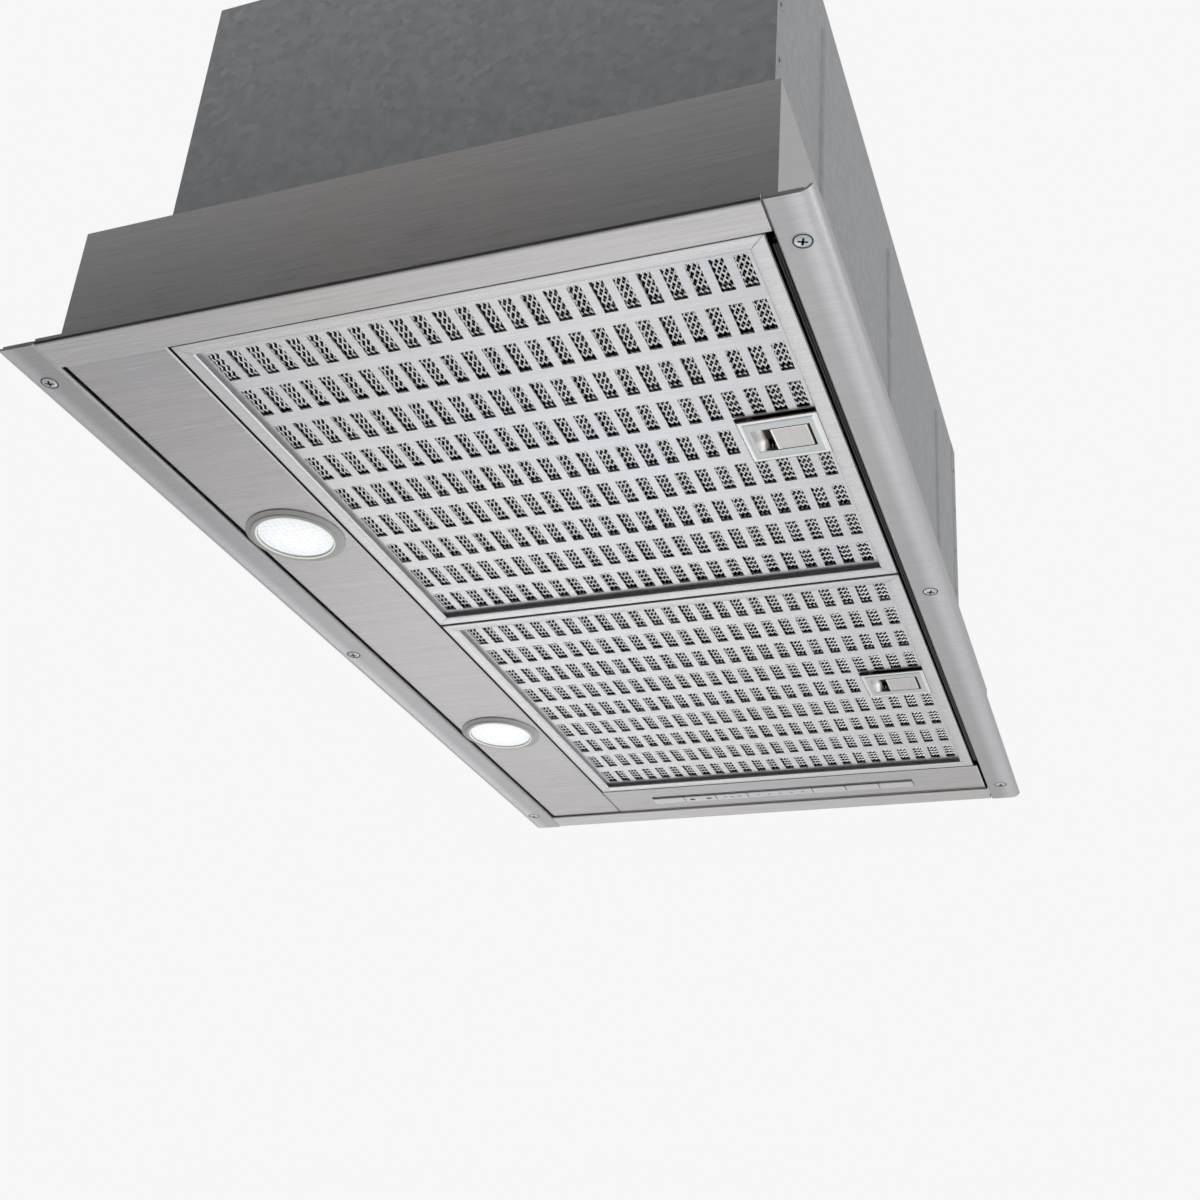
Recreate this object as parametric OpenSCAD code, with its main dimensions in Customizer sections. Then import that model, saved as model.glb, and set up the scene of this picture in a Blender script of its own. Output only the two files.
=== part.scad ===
// Integrated range hood, hung under a wall cabinet and seen from below.
// +X runs to the control end, +Y to the wall, +Z up.
// The origin lies under the middle of the cabinet, level with its bottom face.

/* [Flange] */
// Overall length of the flange
hood_l = 580; // [570:1:640]
// Overall depth of the flange
hood_d = 349; // [345:1:380]
// Height of the flange face below the cabinet
flange_h = 3; // [2.8:0.1:4]
// Thickness of the stainless sheet
sheet_t = 1; // [0.8:0.05:1.2]
// Width of the end flanges
end_flange_w = 17; // [15:0.5:20]
// Width of the body's flange behind each strip
side_flange_w = 17; // [16.5:0.1:18]
// Width of the front strip
front_strip_w = 18.5; // [18:0.1:19]
// Width of the rear strip
rear_strip_w = 20.5; // [19.5:0.1:21]
// Width of the rounded outer edge of each strip
strip_edge_w = 5; // [4:0.1:5.5]

/* [Fixing screws] */
// Distance from the strip's ends to its end screws
screw_end_in = 24; // [20:0.5:32]
// Distance from the outer edge to the screw row
screw_row_in = 9.5; // [9:0.1:10]
// Diameter of the screw's shank
screw_d = 3.5; // [3:0.1:4]
// Diameter of the screw's head
screw_head_d = 6.8; // [6:0.1:7.4]
// Length of the screw above the flange
screw_l = 16; // [12:1:25]

/* [Body] */
// Height of the stainless body above the cabinet's bottom face
body_h = 70; // [60:1:90]
// Width of the blower opening's rim in the deck
deck_rim_w = 24; // [20:1:35]
// Recess of the panels and filters in the flange
panel_recess = 1.5; // [1:0.1:1.8]

/* [Blower box] */
// Height of the blower box
box_h = 170; // [160:1:220]
// Thickness of the galvanised sheet
box_t = 1; // [0.8:0.1:1.2]
// Width of the blower box's bottom flange
box_flange_w = 12; // [10:0.5:14]
// Step between the body's end and the blower box's flange
box_step = 22; // [10:1:40]
// Diameter of the box screws
box_screw_d = 4; // [3.5:0.1:5]

/* [Filters] */
// Height of the filter frame
filter_h = 10; // [9.5:0.1:12]
// Gap beside each filter
filter_gap = 0.8; // [0.6:0.1:1.2]
// Gap between the filters' rear edge and the light panel
hinge_gap = 1; // [0.9:0.1:1.2]
// Gap between the filters' front edge and the body wall
front_gap = 4; // [3.6:0.1:5]
// Width of the frame's border
border_w = 7.5; // [6:0.5:9]
// Thickness of the frame's sheet
frame_t = 0.8; // [0.6:0.05:1]
// Depth of the slotted sheet inside the border
face_recess = 2.5; // [2:0.1:3]
// Thickness of the slotted sheet and of the back sheet
face_t = 0.7; // [0.6:0.05:0.8]
// Length of a slot
slot_l = 18.7; // [14:0.1:20]
// Width of a slot
slot_w = 5.7; // [4:0.1:6.2]
// Distance between slot rows
row_pitch = 26.5; // [24:0.1:27]
// Distance between slot columns
col_pitch = 9.5; // [9:0.05:9.6]
// Width of a rear hook tab
tab_w = 14; // [10:1:20]
// Reach of a rear hook tab behind the frame
tab_reach = 6.5; // [6:0.1:7]
// Distance between the two hook tabs of a filter
tab_pitch = 150; // [120:1:180]

/* [Filter latches] */
// Width of the latch plate
latch_w = 31; // [30:0.5:34]
// Depth of the latch plate
latch_d = 36; // [34:0.5:38]
// Width of the paddle
paddle_w = 15.6; // [12:0.1:16]
// Depth of the paddle
paddle_d = 16.7; // [15:0.1:18]
// Travel of the paddle
latch_travel = 6; // [5:0.1:6.5]
// Width of the latch bolt
bolt_w = 12; // [8:0.5:14]
// Thickness of the latch bolt
bolt_t = 2; // [1.5:0.1:2.2]
// Wire diameter of the latch spring
spring_wire = 0.7; // [0.5:0.1:0.8]
// Outer diameter of the latch spring
spring_d = 3.8; // [3:0.1:4]

/* [Lamps] */
// Depth of the light panel
light_panel_d = 51.3; // [50:0.1:60]
// Distance between the lamps
lamp_pitch = 250; // [200:1:300]
// Diameter of the lamp's rim on the panel
lamp_rim_d = 49.4; // [46:0.2:52]
// Diameter of the lamp's lower face
lamp_face_d = 44.4; // [42:0.2:45]
// Diameter of the lamp's lens
lamp_lens_d = 37.2; // [34:0.2:38]
// Drop of the lamp's face below the panel
lamp_drop = 2.1; // [1.5:0.1:3]

/* [Controls] */
// Width of the control panel
control_w = 37.3; // [36:0.1:45]
// Pitch of one key in the control strip
key_pitch = 22.5; // [20:0.5:24]
// Width of the keys
key_w = 8.4; // [7:0.1:9]
// How far the keys stand below the panel
key_proud = 0.8; // [0.5:0.1:1.2]
// Travel of a key
key_travel = 1; // [0.6:0.1:1.2]

/* [Fan] */
// Gap between the fan's casing and the blower box's front wall
scroll_gap = 7; // [5:0.5:14]
// Length of the impeller
impeller_l = 116; // [100:1:120]
// Number of blades
blade_n = 36; // [24:2:44]
// Thickness of a blade
blade_t = 1.2; // [0.8:0.1:1.6]
// Radius of the fan shaft
shaft_r = 4; // [3:0.1:5]
// Height of the fan's axis
fan_z = 125; // [124:0.5:130]
// Wall of the fan's casing
scroll_t = 2.5; // [2:0.1:3]
// Radius of the motor
motor_r = 40; // [34:0.5:44]
// Length of the motor
motor_l = 62; // [50:1:70]

/* [Outlet collar] */
// Outer diameter of the outlet collar
collar_d = 148; // [120:1:150]
// Height of the outlet collar
collar_h = 48; // [45:1:80]
// Wall of the outlet collar
collar_t = 2.5; // [2:0.1:3]
// Diameter of the damper rod
rod_d = 3; // [2.5:0.1:4]

/* [Electronics box] */
// Length of the electronics box
elec_l = 92; // [80:1:110]
// Depth of the electronics box
elec_d = 120; // [90:1:140]
// Height of the electronics box
elec_h = 34; // [30:1:45]
// Diameter of the mains cable that the gland takes
cable_d = 8; // [6:0.1:10]

/* [Hidden] */

// clearances
touch = 0.3;
running = 0.08;
cut = 1;

// flange and body
face_z = -flange_h;
panel_z = face_z + panel_recess;
opening_l = hood_l - 2 * end_flange_w;
body_l = opening_l + 2 * sheet_t;
body_d = hood_d - 2 * side_flange_w;
wall_in = body_d / 2 - sheet_t;
strip_front_in = front_strip_w - hood_d / 2;
strip_rear_in = hood_d / 2 - rear_strip_w;
screw_pitch_l = hood_l - 2 * screw_end_in;
screw_y = hood_d / 2 - screw_row_in;
landing_out = hood_d / 2 - strip_edge_w + 1.5;
bend_r = 1.4;
end_bend_r = 1.5;

// light panel along the rear, control panel at the right end
panel_seam = 1.2;
panel_y1 = strip_rear_in - panel_seam;
panel_y0 = panel_y1 - light_panel_d;
panel_lip_h = 12.5;
panel_lip_z = panel_z + panel_lip_h;
lamp_y = (panel_y0 + panel_y1) / 2 + 1.4;
lamp_x = lamp_pitch / 2;
lamp_tube_r = lamp_rim_d / 2 - 3.7;
control_x1 = opening_l / 2 - touch;
control_x0 = control_x1 - control_w;

// filters fill what the panels leave, from the body's front left corner
filter_x0 = -opening_l / 2 + filter_gap;
filter_y0 = -wall_in + front_gap;
filter_w = (control_x0 - filter_x0) / 2 - filter_gap;
filter_d = panel_y0 - hinge_gap - filter_y0;
filter_dx = filter_w + filter_gap;
sheet_z = panel_z + face_recess;
frame_top = panel_z + filter_h;
slot_rows = 1 + 2 * floor(((filter_w - slot_l) / 2 - border_w - 1) / row_pitch);
slot_cols = 1 + floor((filter_d - 2 * border_w - slot_w) / col_pitch);
slot_x0 = (filter_w - (slot_rows - 1) * row_pitch - slot_l) / 2;
slot_y0 = (filter_d - (slot_cols - 1) * col_pitch - slot_w) / 2;
// pivot of a filter, just inside its lower rear edge
pivot_in = 1.5;
tab_z = panel_z + 5;
tab_t = 1;

// latches, from the middle of the filter's front edge
latch_y0 = border_w;
plate_z = sheet_z - 1.8;
pocket_y0 = latch_y0 + 5;
pocket_d = paddle_d + latch_travel + 3.5;
pocket_top = plate_z + 6;
pocket_w = paddle_w + 0.8;
paddle_y0 = pocket_y0 + 1;
bolt_z = plate_z + 3.6;
ledge_z = bolt_z - touch;
ledge_t = 0.8;
bolt_reach = front_gap - ledge_t - 0.4;
channel_w = spring_d + 1;
channel_z = plate_z + 1.6;
ear_d = 2.5;
ear_y0 = paddle_y0 + 5;
spring_y0 = ear_y0 + ear_d;
spring_l = 15;

// control strip, a little behind the middle of its panel
control_y0 = filter_y0 - 2;
control_y1 = panel_y0 - 0.4;
strip_units = [1, 1, 1, 2, 1, 1, 1];
key_slot_l = 8 * key_pitch;
key_slot_w = key_w + 1.6;
key_slot_x = (control_x0 + control_x1) / 2 + 2;
key_slot_mid = (control_y0 + control_y1) / 2 + 6.7;
key_slot_y1 = key_slot_mid + key_slot_l / 2;
key_gap = 0.5;
key_lip = 1;
board_z = panel_z + 9.5;
switch_h = 1.2;

// blower box
box_l = body_l - 2 * box_step - 2 * box_flange_w;
box_d = body_d - 2 * box_flange_w - 1;
box_top = body_h + box_h;

// fan: the casing reaches from the front gap to its throat, whose middle lies under the outlet
scroll_grow = 30;
tongue_a = 100;
scroll_room = box_d / 2 - box_t - scroll_gap - scroll_t - scroll_grow * (0.5 + (180 - tongue_a) / (360 - tongue_a));
impeller_gap = 10;
impeller_r = floor(2 * (scroll_room / (1.5 + cos(tongue_a) / 2) - impeller_gap)) / 2;
scroll_in = impeller_r + impeller_gap;
scroll_half = impeller_l / 2 + 4 + scroll_t;
inlet_r = impeller_r - 10;
throat_out = scroll_in + scroll_grow;
throat_in = scroll_in * cos(tongue_a);
fan_y = -(throat_out + throat_in) / 2;
motor_x = -scroll_half - 11;
hub_l = 26;

// outlet collar
flap_z = box_top + 17;
flap_t = 1.6;
flap_r = collar_d / 2 - collar_t - 1;
knuckle_r = rod_d / 2 + 1.6;
collar_base_t = 3;
collar_base_w = 16;

// electronics box beside the outlet collar
elec_x0 = collar_d / 2 + 22;
elec_y0 = -elec_d / 2;
elec_t = 2;
elec_post_w = 7;
gland_x = elec_x0 + elec_l / 2;
gland_r = cable_d / 2 + 3.5;
power_board = [44, 70, 1.6];
power_board_at = [20, 28];
transformer = [12, 40, 12];
transformer_at = [24, 40];
terminal = [16, 9, 8];
terminal_at = [46, 28];
wire_hole = [elec_x0 + 54, elec_y0 + 14];
wire_hole_r = 8;

function arc(c, r, a0, a1, n = 8) =
    [for (i = [0:n]) let (a = a0 + (a1 - a0) * i / n) c + r * [cos(a), sin(a)]];

// an outline in Y and Z, extruded along X
module along_x(length) {
    rotate([90, 0, 90]) linear_extrude(length, center = true) children();
}

// an outline in X and Z, extruded along Y
module along_y(length) {
    rotate([90, 0, 0]) linear_extrude(length, center = true) children();
}

// a box from its two corners
module span(low, high) {
    translate(low) cube(high - low);
}

// a flat ring between two rectangles, from its outer corner
module rect_ring(w, d, rim, h) {
    difference() {
        cube([w, d, h]);
        translate([rim, rim, -cut]) cube([w - 2 * rim, d - 2 * rim, h + 2 * cut]);
    }
}

// where the six fixing screws stand
module at_strip_screws(sides = [-1, 1]) {
    for (side = sides, x = [-screw_pitch_l / 2, 0, screw_pitch_l / 2])
        translate([x, side * screw_y, 0]) children();
}

// where the eight box screws stand
module at_box_screws() {
    for (sx = [-1, 1], sy = [-1, 1])
        translate([sx * (box_l / 2 + box_flange_w / 2), sy * box_d / 4, 0]) children();
    for (sx = [-1, 1], sy = [-1, 1])
        translate([sx * box_l / 4, sy * (box_d / 2 + box_flange_w / 2), 0]) children();
}

// body pan

function end_outline() = concat(
    [[0, body_h]],
    arc([bend_r, face_z + bend_r], bend_r, 180, 270),
    arc([end_flange_w - end_bend_r, face_z + end_bend_r], end_bend_r, 270, 360),
    [[end_flange_w, 0], [end_flange_w - sheet_t, 0]],
    arc([end_flange_w - end_bend_r, face_z + end_bend_r], end_bend_r - sheet_t, 360, 270, 4),
    [[sheet_t, face_z + sheet_t], [sheet_t, body_h]]);

module end_flange() {
    mid = (strip_front_in + strip_rear_in) / 2;
    len = strip_rear_in - strip_front_in - 2 * touch;
    translate([opening_l / 2, mid, 0]) along_y(len) polygon(end_outline());
}

module body_walls() {
    difference() {
        span([-body_l / 2, -body_d / 2, -sheet_t], [body_l / 2, body_d / 2, body_h]);
        span([-opening_l / 2, -wall_in, -sheet_t - cut], [opening_l / 2, wall_in, body_h - sheet_t]);
        span([-box_l / 2 + deck_rim_w, -box_d / 2 + deck_rim_w - box_flange_w, body_h - sheet_t - cut],
             [box_l / 2 - deck_rim_w, box_d / 2 - deck_rim_w + box_flange_w, body_h + cut]);
    }
}

module landing(side) {
    y0 = side > 0 ? body_d / 2 - sheet_t : -landing_out;
    y1 = side > 0 ? landing_out : sheet_t - body_d / 2;
    span([-hood_l / 2 + sheet_t, y0, -sheet_t], [hood_l / 2 - sheet_t, y1, 0]);
}

module body_pan() {
    color("silver") difference() {
        union() {
            body_walls();
            end_flange();
            mirror([1, 0, 0]) end_flange();
            for (side = [-1, 1]) landing(side);
        }
        at_strip_screws() cylinder(r = screw_d / 2 + touch, h = 6 * sheet_t, center = true, $fn = 24);
        at_box_screws() translate([0, 0, body_h])
            cylinder(d = box_screw_d, h = 6 * sheet_t, center = true, $fn = 24);
    }
}

// strips

strip_edge_r = (pow(strip_edge_w, 2) + pow(flange_h, 2)) / (2 * flange_h);

function strip_outline(w) = let (c = [w - strip_edge_w, face_z + strip_edge_r], ri = strip_edge_r - sheet_t)
    concat(
        [[0, -sheet_t]],
        arc([bend_r, face_z + bend_r], bend_r, 180, 270),
        arc(c, strip_edge_r, -90, asin(-c[1] / strip_edge_r), 12),
        arc(c, ri, asin(-c[1] / ri), -90, 12),
        arc([bend_r, face_z + bend_r], bend_r - sheet_t, 270, 180, 4),
        [[sheet_t, -sheet_t]]);

head_r = screw_head_d / 2;
shank_r = screw_d / 2;
cone_h = head_r - shank_r;

module dimple_wall() {
    translate([0, 0, face_z]) cylinder(r1 = head_r + 0.9, r2 = shank_r + 1.1, h = cone_h, $fn = 48);
    translate([0, 0, face_z + cone_h])
        cylinder(r = shank_r + 1.1, h = flange_h - sheet_t - cone_h, $fn = 48);
}

module dimple_hole() {
    translate([0, 0, face_z - cut])
        cylinder(r1 = head_r + 0.1 + cut, r2 = shank_r + 0.1, h = cone_h + cut, $fn = 48);
    cylinder(r = shank_r + 0.1, h = 6 * flange_h, center = true, $fn = 48);
}

module strip(side, w) {
    inner = side > 0 ? strip_rear_in : -strip_front_in;
    color("lightgray") difference() {
        union() {
            if (side > 0) translate([0, inner, 0]) along_x(hood_l) polygon(strip_outline(w));
            else mirror([0, 1, 0]) translate([0, inner, 0]) along_x(hood_l) polygon(strip_outline(w));
            at_strip_screws([side]) dimple_wall();
        }
        at_strip_screws([side]) dimple_hole();
    }
}

module front_strip() {
    strip(-1, front_strip_w);
}

module rear_strip() {
    strip(1, rear_strip_w);
}

// fixing screws: raised countersunk heads with a cross recess

module fixing_screw() {
    dome = 0.5;
    dome_r = (pow(head_r, 2) + pow(dome, 2)) / (2 * dome);
    tip = 4;
    neck = 0.45;
    difference() {
        rotate_extrude($fn = 48) polygon(concat(
            [for (i = [0:6]) let (a = i / 6 * asin(head_r / dome_r))
                [dome_r * sin(a), face_z - dome + dome_r * (1 - cos(a))]],
            [[shank_r, face_z + cone_h], [shank_r - neck, face_z + cone_h + neck], [shank_r - neck, 0],
             [shank_r, 0], [shank_r, screw_l - tip], [0.2, screw_l], [0, screw_l]]));
        for (a = [0, 90]) rotate(a + 20)
            translate([-1.9, -0.45, face_z - dome - cut]) cube([3.8, 0.9, cut + 1.6]);
    }
}

module strip_screws() {
    color("lightsteelblue") at_strip_screws() fixing_screw();
}

// ledge for the latch bolts, and the ribbed seal under it

ledge_reach = front_gap - 0.8;
ledge_end = 8;
ledge_h = 10;
ledge_l = control_x0 + opening_l / 2 - 2 * ledge_end;
ledge_mid = (control_x0 - opening_l / 2) / 2;
ledge_low = ledge_z - 1.2;

module filter_ledge() {
    color("darkgray") translate([ledge_mid, -wall_in, 0]) along_x(ledge_l) polygon([
        [0, ledge_low], [ledge_reach, ledge_low], [ledge_reach, ledge_z], [ledge_t, ledge_z],
        [ledge_t, ledge_z + ledge_h], [0, ledge_z + ledge_h]]);
}

module front_seal() {
    top = ledge_low;
    rib = 0.5;
    color("black") translate([ledge_mid, -wall_in, 0]) along_x(ledge_l) union() {
        polygon([[0, top], [0, panel_z + 1], [ledge_reach, panel_z + 1], [ledge_reach, top]]);
        for (y = [rib, ledge_reach / 2, ledge_reach - rib]) translate([y, panel_z + 1]) circle(r = rib, $fn = 16);
    }
}

// light panel: bent sheet with two lamp holes and slots for the filters' hook tabs

function light_outline() = let (b = bend_r, t = sheet_t, z = panel_z) concat(
    [[panel_y0, panel_lip_z]],
    arc([panel_y0 + b, z + b], b, 180, 270),
    arc([panel_y1 - b, z + b], b, 270, 360),
    [[panel_y1, panel_lip_z - t], [wall_in, panel_lip_z - t], [wall_in, panel_lip_z],
     [panel_y1 - t, panel_lip_z]],
    arc([panel_y1 - b, z + b], b - t, 360, 270, 4),
    arc([panel_y0 + b, z + b], b - t, 270, 180, 4),
    [[panel_y0 + t, panel_lip_z]]);

module at_tabs() {
    for (i = [0, 1], s = [-1, 1])
        translate([filter_x0 + i * filter_dx + filter_w / 2 + s * tab_pitch / 2, 0, 0]) children();
}

module light_panel() {
    slot_top = panel_z + pivot_in + norm([pivot_in + tab_reach, tab_z + tab_t - panel_z - pivot_in]) + touch;
    color("silver") difference() {
        along_x(opening_l - 2 * touch) polygon(light_outline());
        for (s = [-1, 1]) at_lamp(s) cylinder(r = lamp_tube_r + 0.2, h = 6 * sheet_t, center = true, $fn = 96);
        at_tabs() span([-tab_w / 2 - 1, panel_y0 - cut, tab_z - touch],
                       [tab_w / 2 + 1, panel_y0 + sheet_t + cut, slot_top]);
    }
}

// lamps

module at_lamp(side) {
    translate([side * lamp_x, lamp_y, panel_z]) children();
}

ring_in = lamp_lens_d / 2;

module lamp_ring(side) {
    rim = lamp_rim_d / 2;
    low = lamp_face_d / 2;
    color("gainsboro") at_lamp(side) rotate_extrude($fn = 96) polygon(concat(
        [[rim, 0], [rim, -0.5]],
        arc([low - 0.6, -lamp_drop + 0.6], 0.6, 0, -90, 4),
        [[ring_in + 1.2, -lamp_drop], [ring_in, -lamp_drop + 0.9], [ring_in, 1.2], [lamp_tube_r - 1.4, 1.2],
         [lamp_tube_r - 1.4, 13], [lamp_tube_r, 13], [lamp_tube_r, 0]]));
}

module lamp_lens(side) {
    crown = 0.7;
    low = -lamp_drop + 0.9;
    r = ring_in - 0.1;
    ball_r = (pow(r, 2) + pow(crown, 2)) / (2 * crown);
    color("white") at_lamp(side) rotate_extrude($fn = 96) polygon(concat(
        [for (i = [0:8]) let (a = i / 8 * asin(r / ball_r))
            [ball_r * sin(a), low - crown + ball_r * (1 - cos(a)) + 0.3]],
        [[r, 1.2], [0, 1.2]]));
}

module lamp_body(side) {
    r = lamp_tube_r - 1.6;
    color("dimgray") at_lamp(side) {
        translate([0, 0, 1.2]) cylinder(r = r, h = 9, $fn = 72);
        for (i = [0:5]) translate([0, 0, 10.2 + i * 3]) cylinder(r = r - 3, h = 1.6, $fn = 72);
        translate([0, 0, 10.2]) cylinder(r = r - 8, h = 19, $fn = 48);
        translate([-6, -4, 29.2]) cube([12, 8, 6]);
    }
}

// two spring clips hold each lamp against the panel
module lamp_clips() {
    t = 0.6;
    z1 = 11;
    out = 7;
    clip_w = 8;
    color("silver") for (side = [-1, 1], a = [0, 180]) at_lamp(side) rotate(a)
        translate([lamp_tube_r, 0, sheet_t]) along_y(clip_w) polygon([
            [0, z1], [1.4, z1], [out + 0.2, t], [out + 2, t], [out + 2, 0], [out - 0.2, 0],
            [1, z1 - t], [0, z1 - t]]);
}

// control panel

module control_panel() {
    t = sheet_t;
    w = control_x1 - control_x0;
    h = 11;
    len = control_y1 - control_y0;
    color("silver") difference() {
        translate([control_x0, (control_y0 + control_y1) / 2, panel_z]) along_y(len) polygon(concat(
            [[0, h]],
            arc([bend_r, bend_r], bend_r, 180, 270),
            arc([w - bend_r, bend_r], bend_r, 270, 360),
            [[w, h - t], [w + touch, h - t], [w + touch, h], [w - t, h]],
            arc([w - bend_r, bend_r], bend_r - t, 360, 270, 4),
            arc([bend_r, bend_r], bend_r - t, 270, 180, 4),
            [[t, h]]));
        span([key_slot_x - key_slot_w / 2, key_slot_y1 - key_slot_l, panel_z - cut],
             [key_slot_x + key_slot_w / 2, key_slot_y1, panel_z + t + cut]);
    }
}

function units_before(i) = i == 0 ? 0 : strip_units[i - 1] + units_before(i - 1);

key_x = key_slot_x + key_slot_w / 2 - 0.4 - key_w / 2;

// one piece of the control strip, in its place in the row
module strip_piece(i, lift) {
    y1 = key_slot_y1 - units_before(i) * key_pitch - key_gap / 2;
    len = strip_units[i] * key_pitch - key_gap;
    z0 = panel_z - key_proud;
    lip_z = panel_z + sheet_t + lift;
    near = key_x - key_slot_x + key_slot_w / 2 + key_lip;
    far = key_slot_x + key_slot_w / 2 - key_x + key_lip;
    r = 0.4;
    translate([key_x, y1 - len / 2, 0]) {
        along_y(len) polygon([
            [-key_w / 2, lip_z], [-key_w / 2, z0 + r], [r - key_w / 2, z0], [key_w / 2 - r, z0],
            [key_w / 2, z0 + r], [key_w / 2, lip_z], [far, lip_z], [far, lip_z + 1],
            [-near, lip_z + 1], [-near, lip_z]]);
        translate([0, 0, lip_z]) children();
    }
}

// a key that is pressed upward onto its switch
module key(i) {
    stem = board_z - switch_h - key_travel - touch - (panel_z + sheet_t + touch);
    color("gainsboro") strip_piece(i, touch) cylinder(r = 2, h = stem, $fn = 24);
}

module light_key() {
    key(0);
}

module timer_key() {
    key(1);
}

module slower_key() {
    key(2);
}

module level_display() {
    color("whitesmoke") strip_piece(3, 0) translate([-2, -18, 1]) cube([4, 36, 3]);
}

module faster_key() {
    key(4);
}

module boost_key() {
    key(5);
}

module end_piece() {
    color("gainsboro") strip_piece(6, 0) translate([-2, -8, 1]) cube([4, 16, 2]);
}

board_over = [8, 10];
board_w = key_w + board_over[0];
board_l = key_slot_l + board_over[1];
board_t = 1.6;
plug = [8, 28, 5];

module control_board() {
    switches = [0, 1, 2, 4, 5];
    color("darkgreen") {
        translate([key_x - board_w / 2, key_slot_mid - board_l / 2, board_z]) cube([board_w, board_l, board_t]);
        for (i = switches) {
            y = key_slot_y1 - (units_before(i) + strip_units[i] / 2) * key_pitch;
            translate([key_x, y, board_z - switch_h]) cylinder(r = 1.6, h = switch_h, $fn = 24);
            translate([key_x - 3, y - 3, board_z - 0.6]) cube([6, 6, 0.6]);
        }
        translate([key_x - plug[0] / 2, key_slot_mid - plug[1] / 2, board_z + board_t]) cube(plug);
    }
}

// carrier on the panel that holds the board over the keys
module key_carrier() {
    t = 1.6;
    w = board_w + 2 * t + 0.4;
    l = board_l + 2 * t + 0.4;
    z0 = panel_z + sheet_t;
    h = board_z - z0;
    color("dimgray") translate([key_x - w / 2, key_slot_mid - l / 2, z0]) {
        rect_ring(w, l, t, h + 4);
        for (y = [t, l - t - 4]) translate([t, y, 0]) cube([w - 2 * t, 4, h]);
        for (y = [-6, l]) translate([w / 2 - 4, y, 0]) difference() {
            cube([8, 6, 2]);
            translate([4, 3, -cut]) cylinder(d = 2.6, h = 4, $fn = 20);
        }
    }
}

// filters: each is drawn from its front left lower corner, then put in place

module filter_place(i) {
    translate([filter_x0 + i * filter_dx, filter_y0, 0]) children();
}

// one mitred side of the rolled frame, along X, from the corner
module frame_side(len) {
    seam = 0.15;
    b = border_w;
    r = 0.8;
    intersection() {
        translate([len / 2, 0, 0]) along_x(len) polygon(concat(
            [[0, panel_z + frame_t], [0, panel_z + r]],
            arc([r, panel_z + r], r, 180, 270, 4),
            arc([b - r, panel_z + r], r, 270, 360, 4),
            [[b, panel_z + frame_t]]));
        linear_extrude(100, center = true)
            polygon([[seam, 0], [len - seam, 0], [len - seam - b, b], [seam + b, b]]);
    }
}

module filter_frame(i) {
    w = filter_w;
    d = filter_d;
    t = frame_t;
    b = border_w;
    color("silver") filter_place(i) difference() {
        union() {
            frame_side(w);
            translate([w, d, 0]) rotate(180) frame_side(w);
            translate([w, 0, 0]) rotate(90) frame_side(d);
            translate([0, d, 0]) rotate(270) frame_side(d);
            translate([0, 0, panel_z + t]) rect_ring(w, d, t, filter_h - t);
            translate([b - t, b - t, panel_z + t]) rect_ring(w - 2 * (b - t), d - 2 * (b - t), t, face_recess - t);
            translate([0, 0, panel_z + t]) rect_ring(w, d, b, 0.4);
            translate([0, 0, frame_top - t]) rect_ring(w, d, b - 1.5, t);
            for (s = [-1, 1]) translate([w / 2 + s * tab_pitch / 2 - tab_w / 2, d - t, tab_z])
                cube([tab_w, t + tab_reach, tab_t]);
        }
        translate([w / 2 - bolt_w / 2 - touch, -cut, bolt_z - touch])
            cube([bolt_w + 2 * touch, b + 2 * cut, bolt_t + 2 * touch]);
    }
}

// area of the face sheet that the latch takes
module latch_window(margin) {
    translate([filter_w / 2 - latch_w / 2 - margin, latch_y0 - margin])
        square([latch_w + 2 * margin, latch_d + 2 * margin]);
}

function slot_free(r, c) = let (x = slot_x0 + r * row_pitch, y = slot_y0 + c * col_pitch)
    abs(x + slot_l / 2 - filter_w / 2) > (latch_w + slot_l) / 2 + 1 || y > latch_y0 + latch_d + 1;

module slot_pattern() {
    for (r = [0:slot_rows - 1], c = [0:slot_cols - 1]) if (slot_free(r, c))
        translate([slot_x0 + r * row_pitch, slot_y0 + c * col_pitch]) square([slot_l, slot_w]);
}

module filter_face(i) {
    in = frame_t + 0.1;
    color("gainsboro") filter_place(i) translate([0, 0, sheet_z]) linear_extrude(face_t) difference() {
        translate([in, in]) square([filter_w - 2 * in, filter_d - 2 * in]);
        slot_pattern();
        latch_window(0.6);
    }
}

mesh_z = sheet_z + face_t;
back_z = frame_top - frame_t - face_t;

module filter_mesh(i) {
    in = frame_t + 0.5;
    color("gray") filter_place(i) difference() {
        translate([in, in, mesh_z]) cube([filter_w - 2 * in, filter_d - 2 * in, back_z - mesh_z]);
        translate([0, 0, mesh_z - cut]) linear_extrude(back_z) latch_window(0.6);
        translate([filter_w / 2 - bolt_w / 2 - 0.6, -cut, mesh_z - cut]) cube([bolt_w + 1.2, latch_y0 + 2 * cut, 20]);
    }
}

module filter_back(i) {
    in = frame_t + 0.1;
    hole = 19;
    pitch = 23.5;
    na = floor((filter_w - 2 * border_w - hole) / pitch);
    nb = floor((filter_d - 2 * border_w - hole) / pitch);
    x0 = (filter_w - na * pitch - hole) / 2;
    y0 = (filter_d - nb * pitch - hole) / 2;
    color("darkgray") filter_place(i) translate([0, 0, back_z]) linear_extrude(face_t) difference() {
        translate([in, in]) square([filter_w - 2 * in, filter_d - 2 * in]);
        for (a = [0:na], b = [0:nb])
            if (abs(x0 + a * pitch + hole / 2 - filter_w / 2) > latch_w / 2 + hole / 2 || b > 1)
                translate([x0 + a * pitch, y0 + b * pitch]) square(hole);
    }
}

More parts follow.
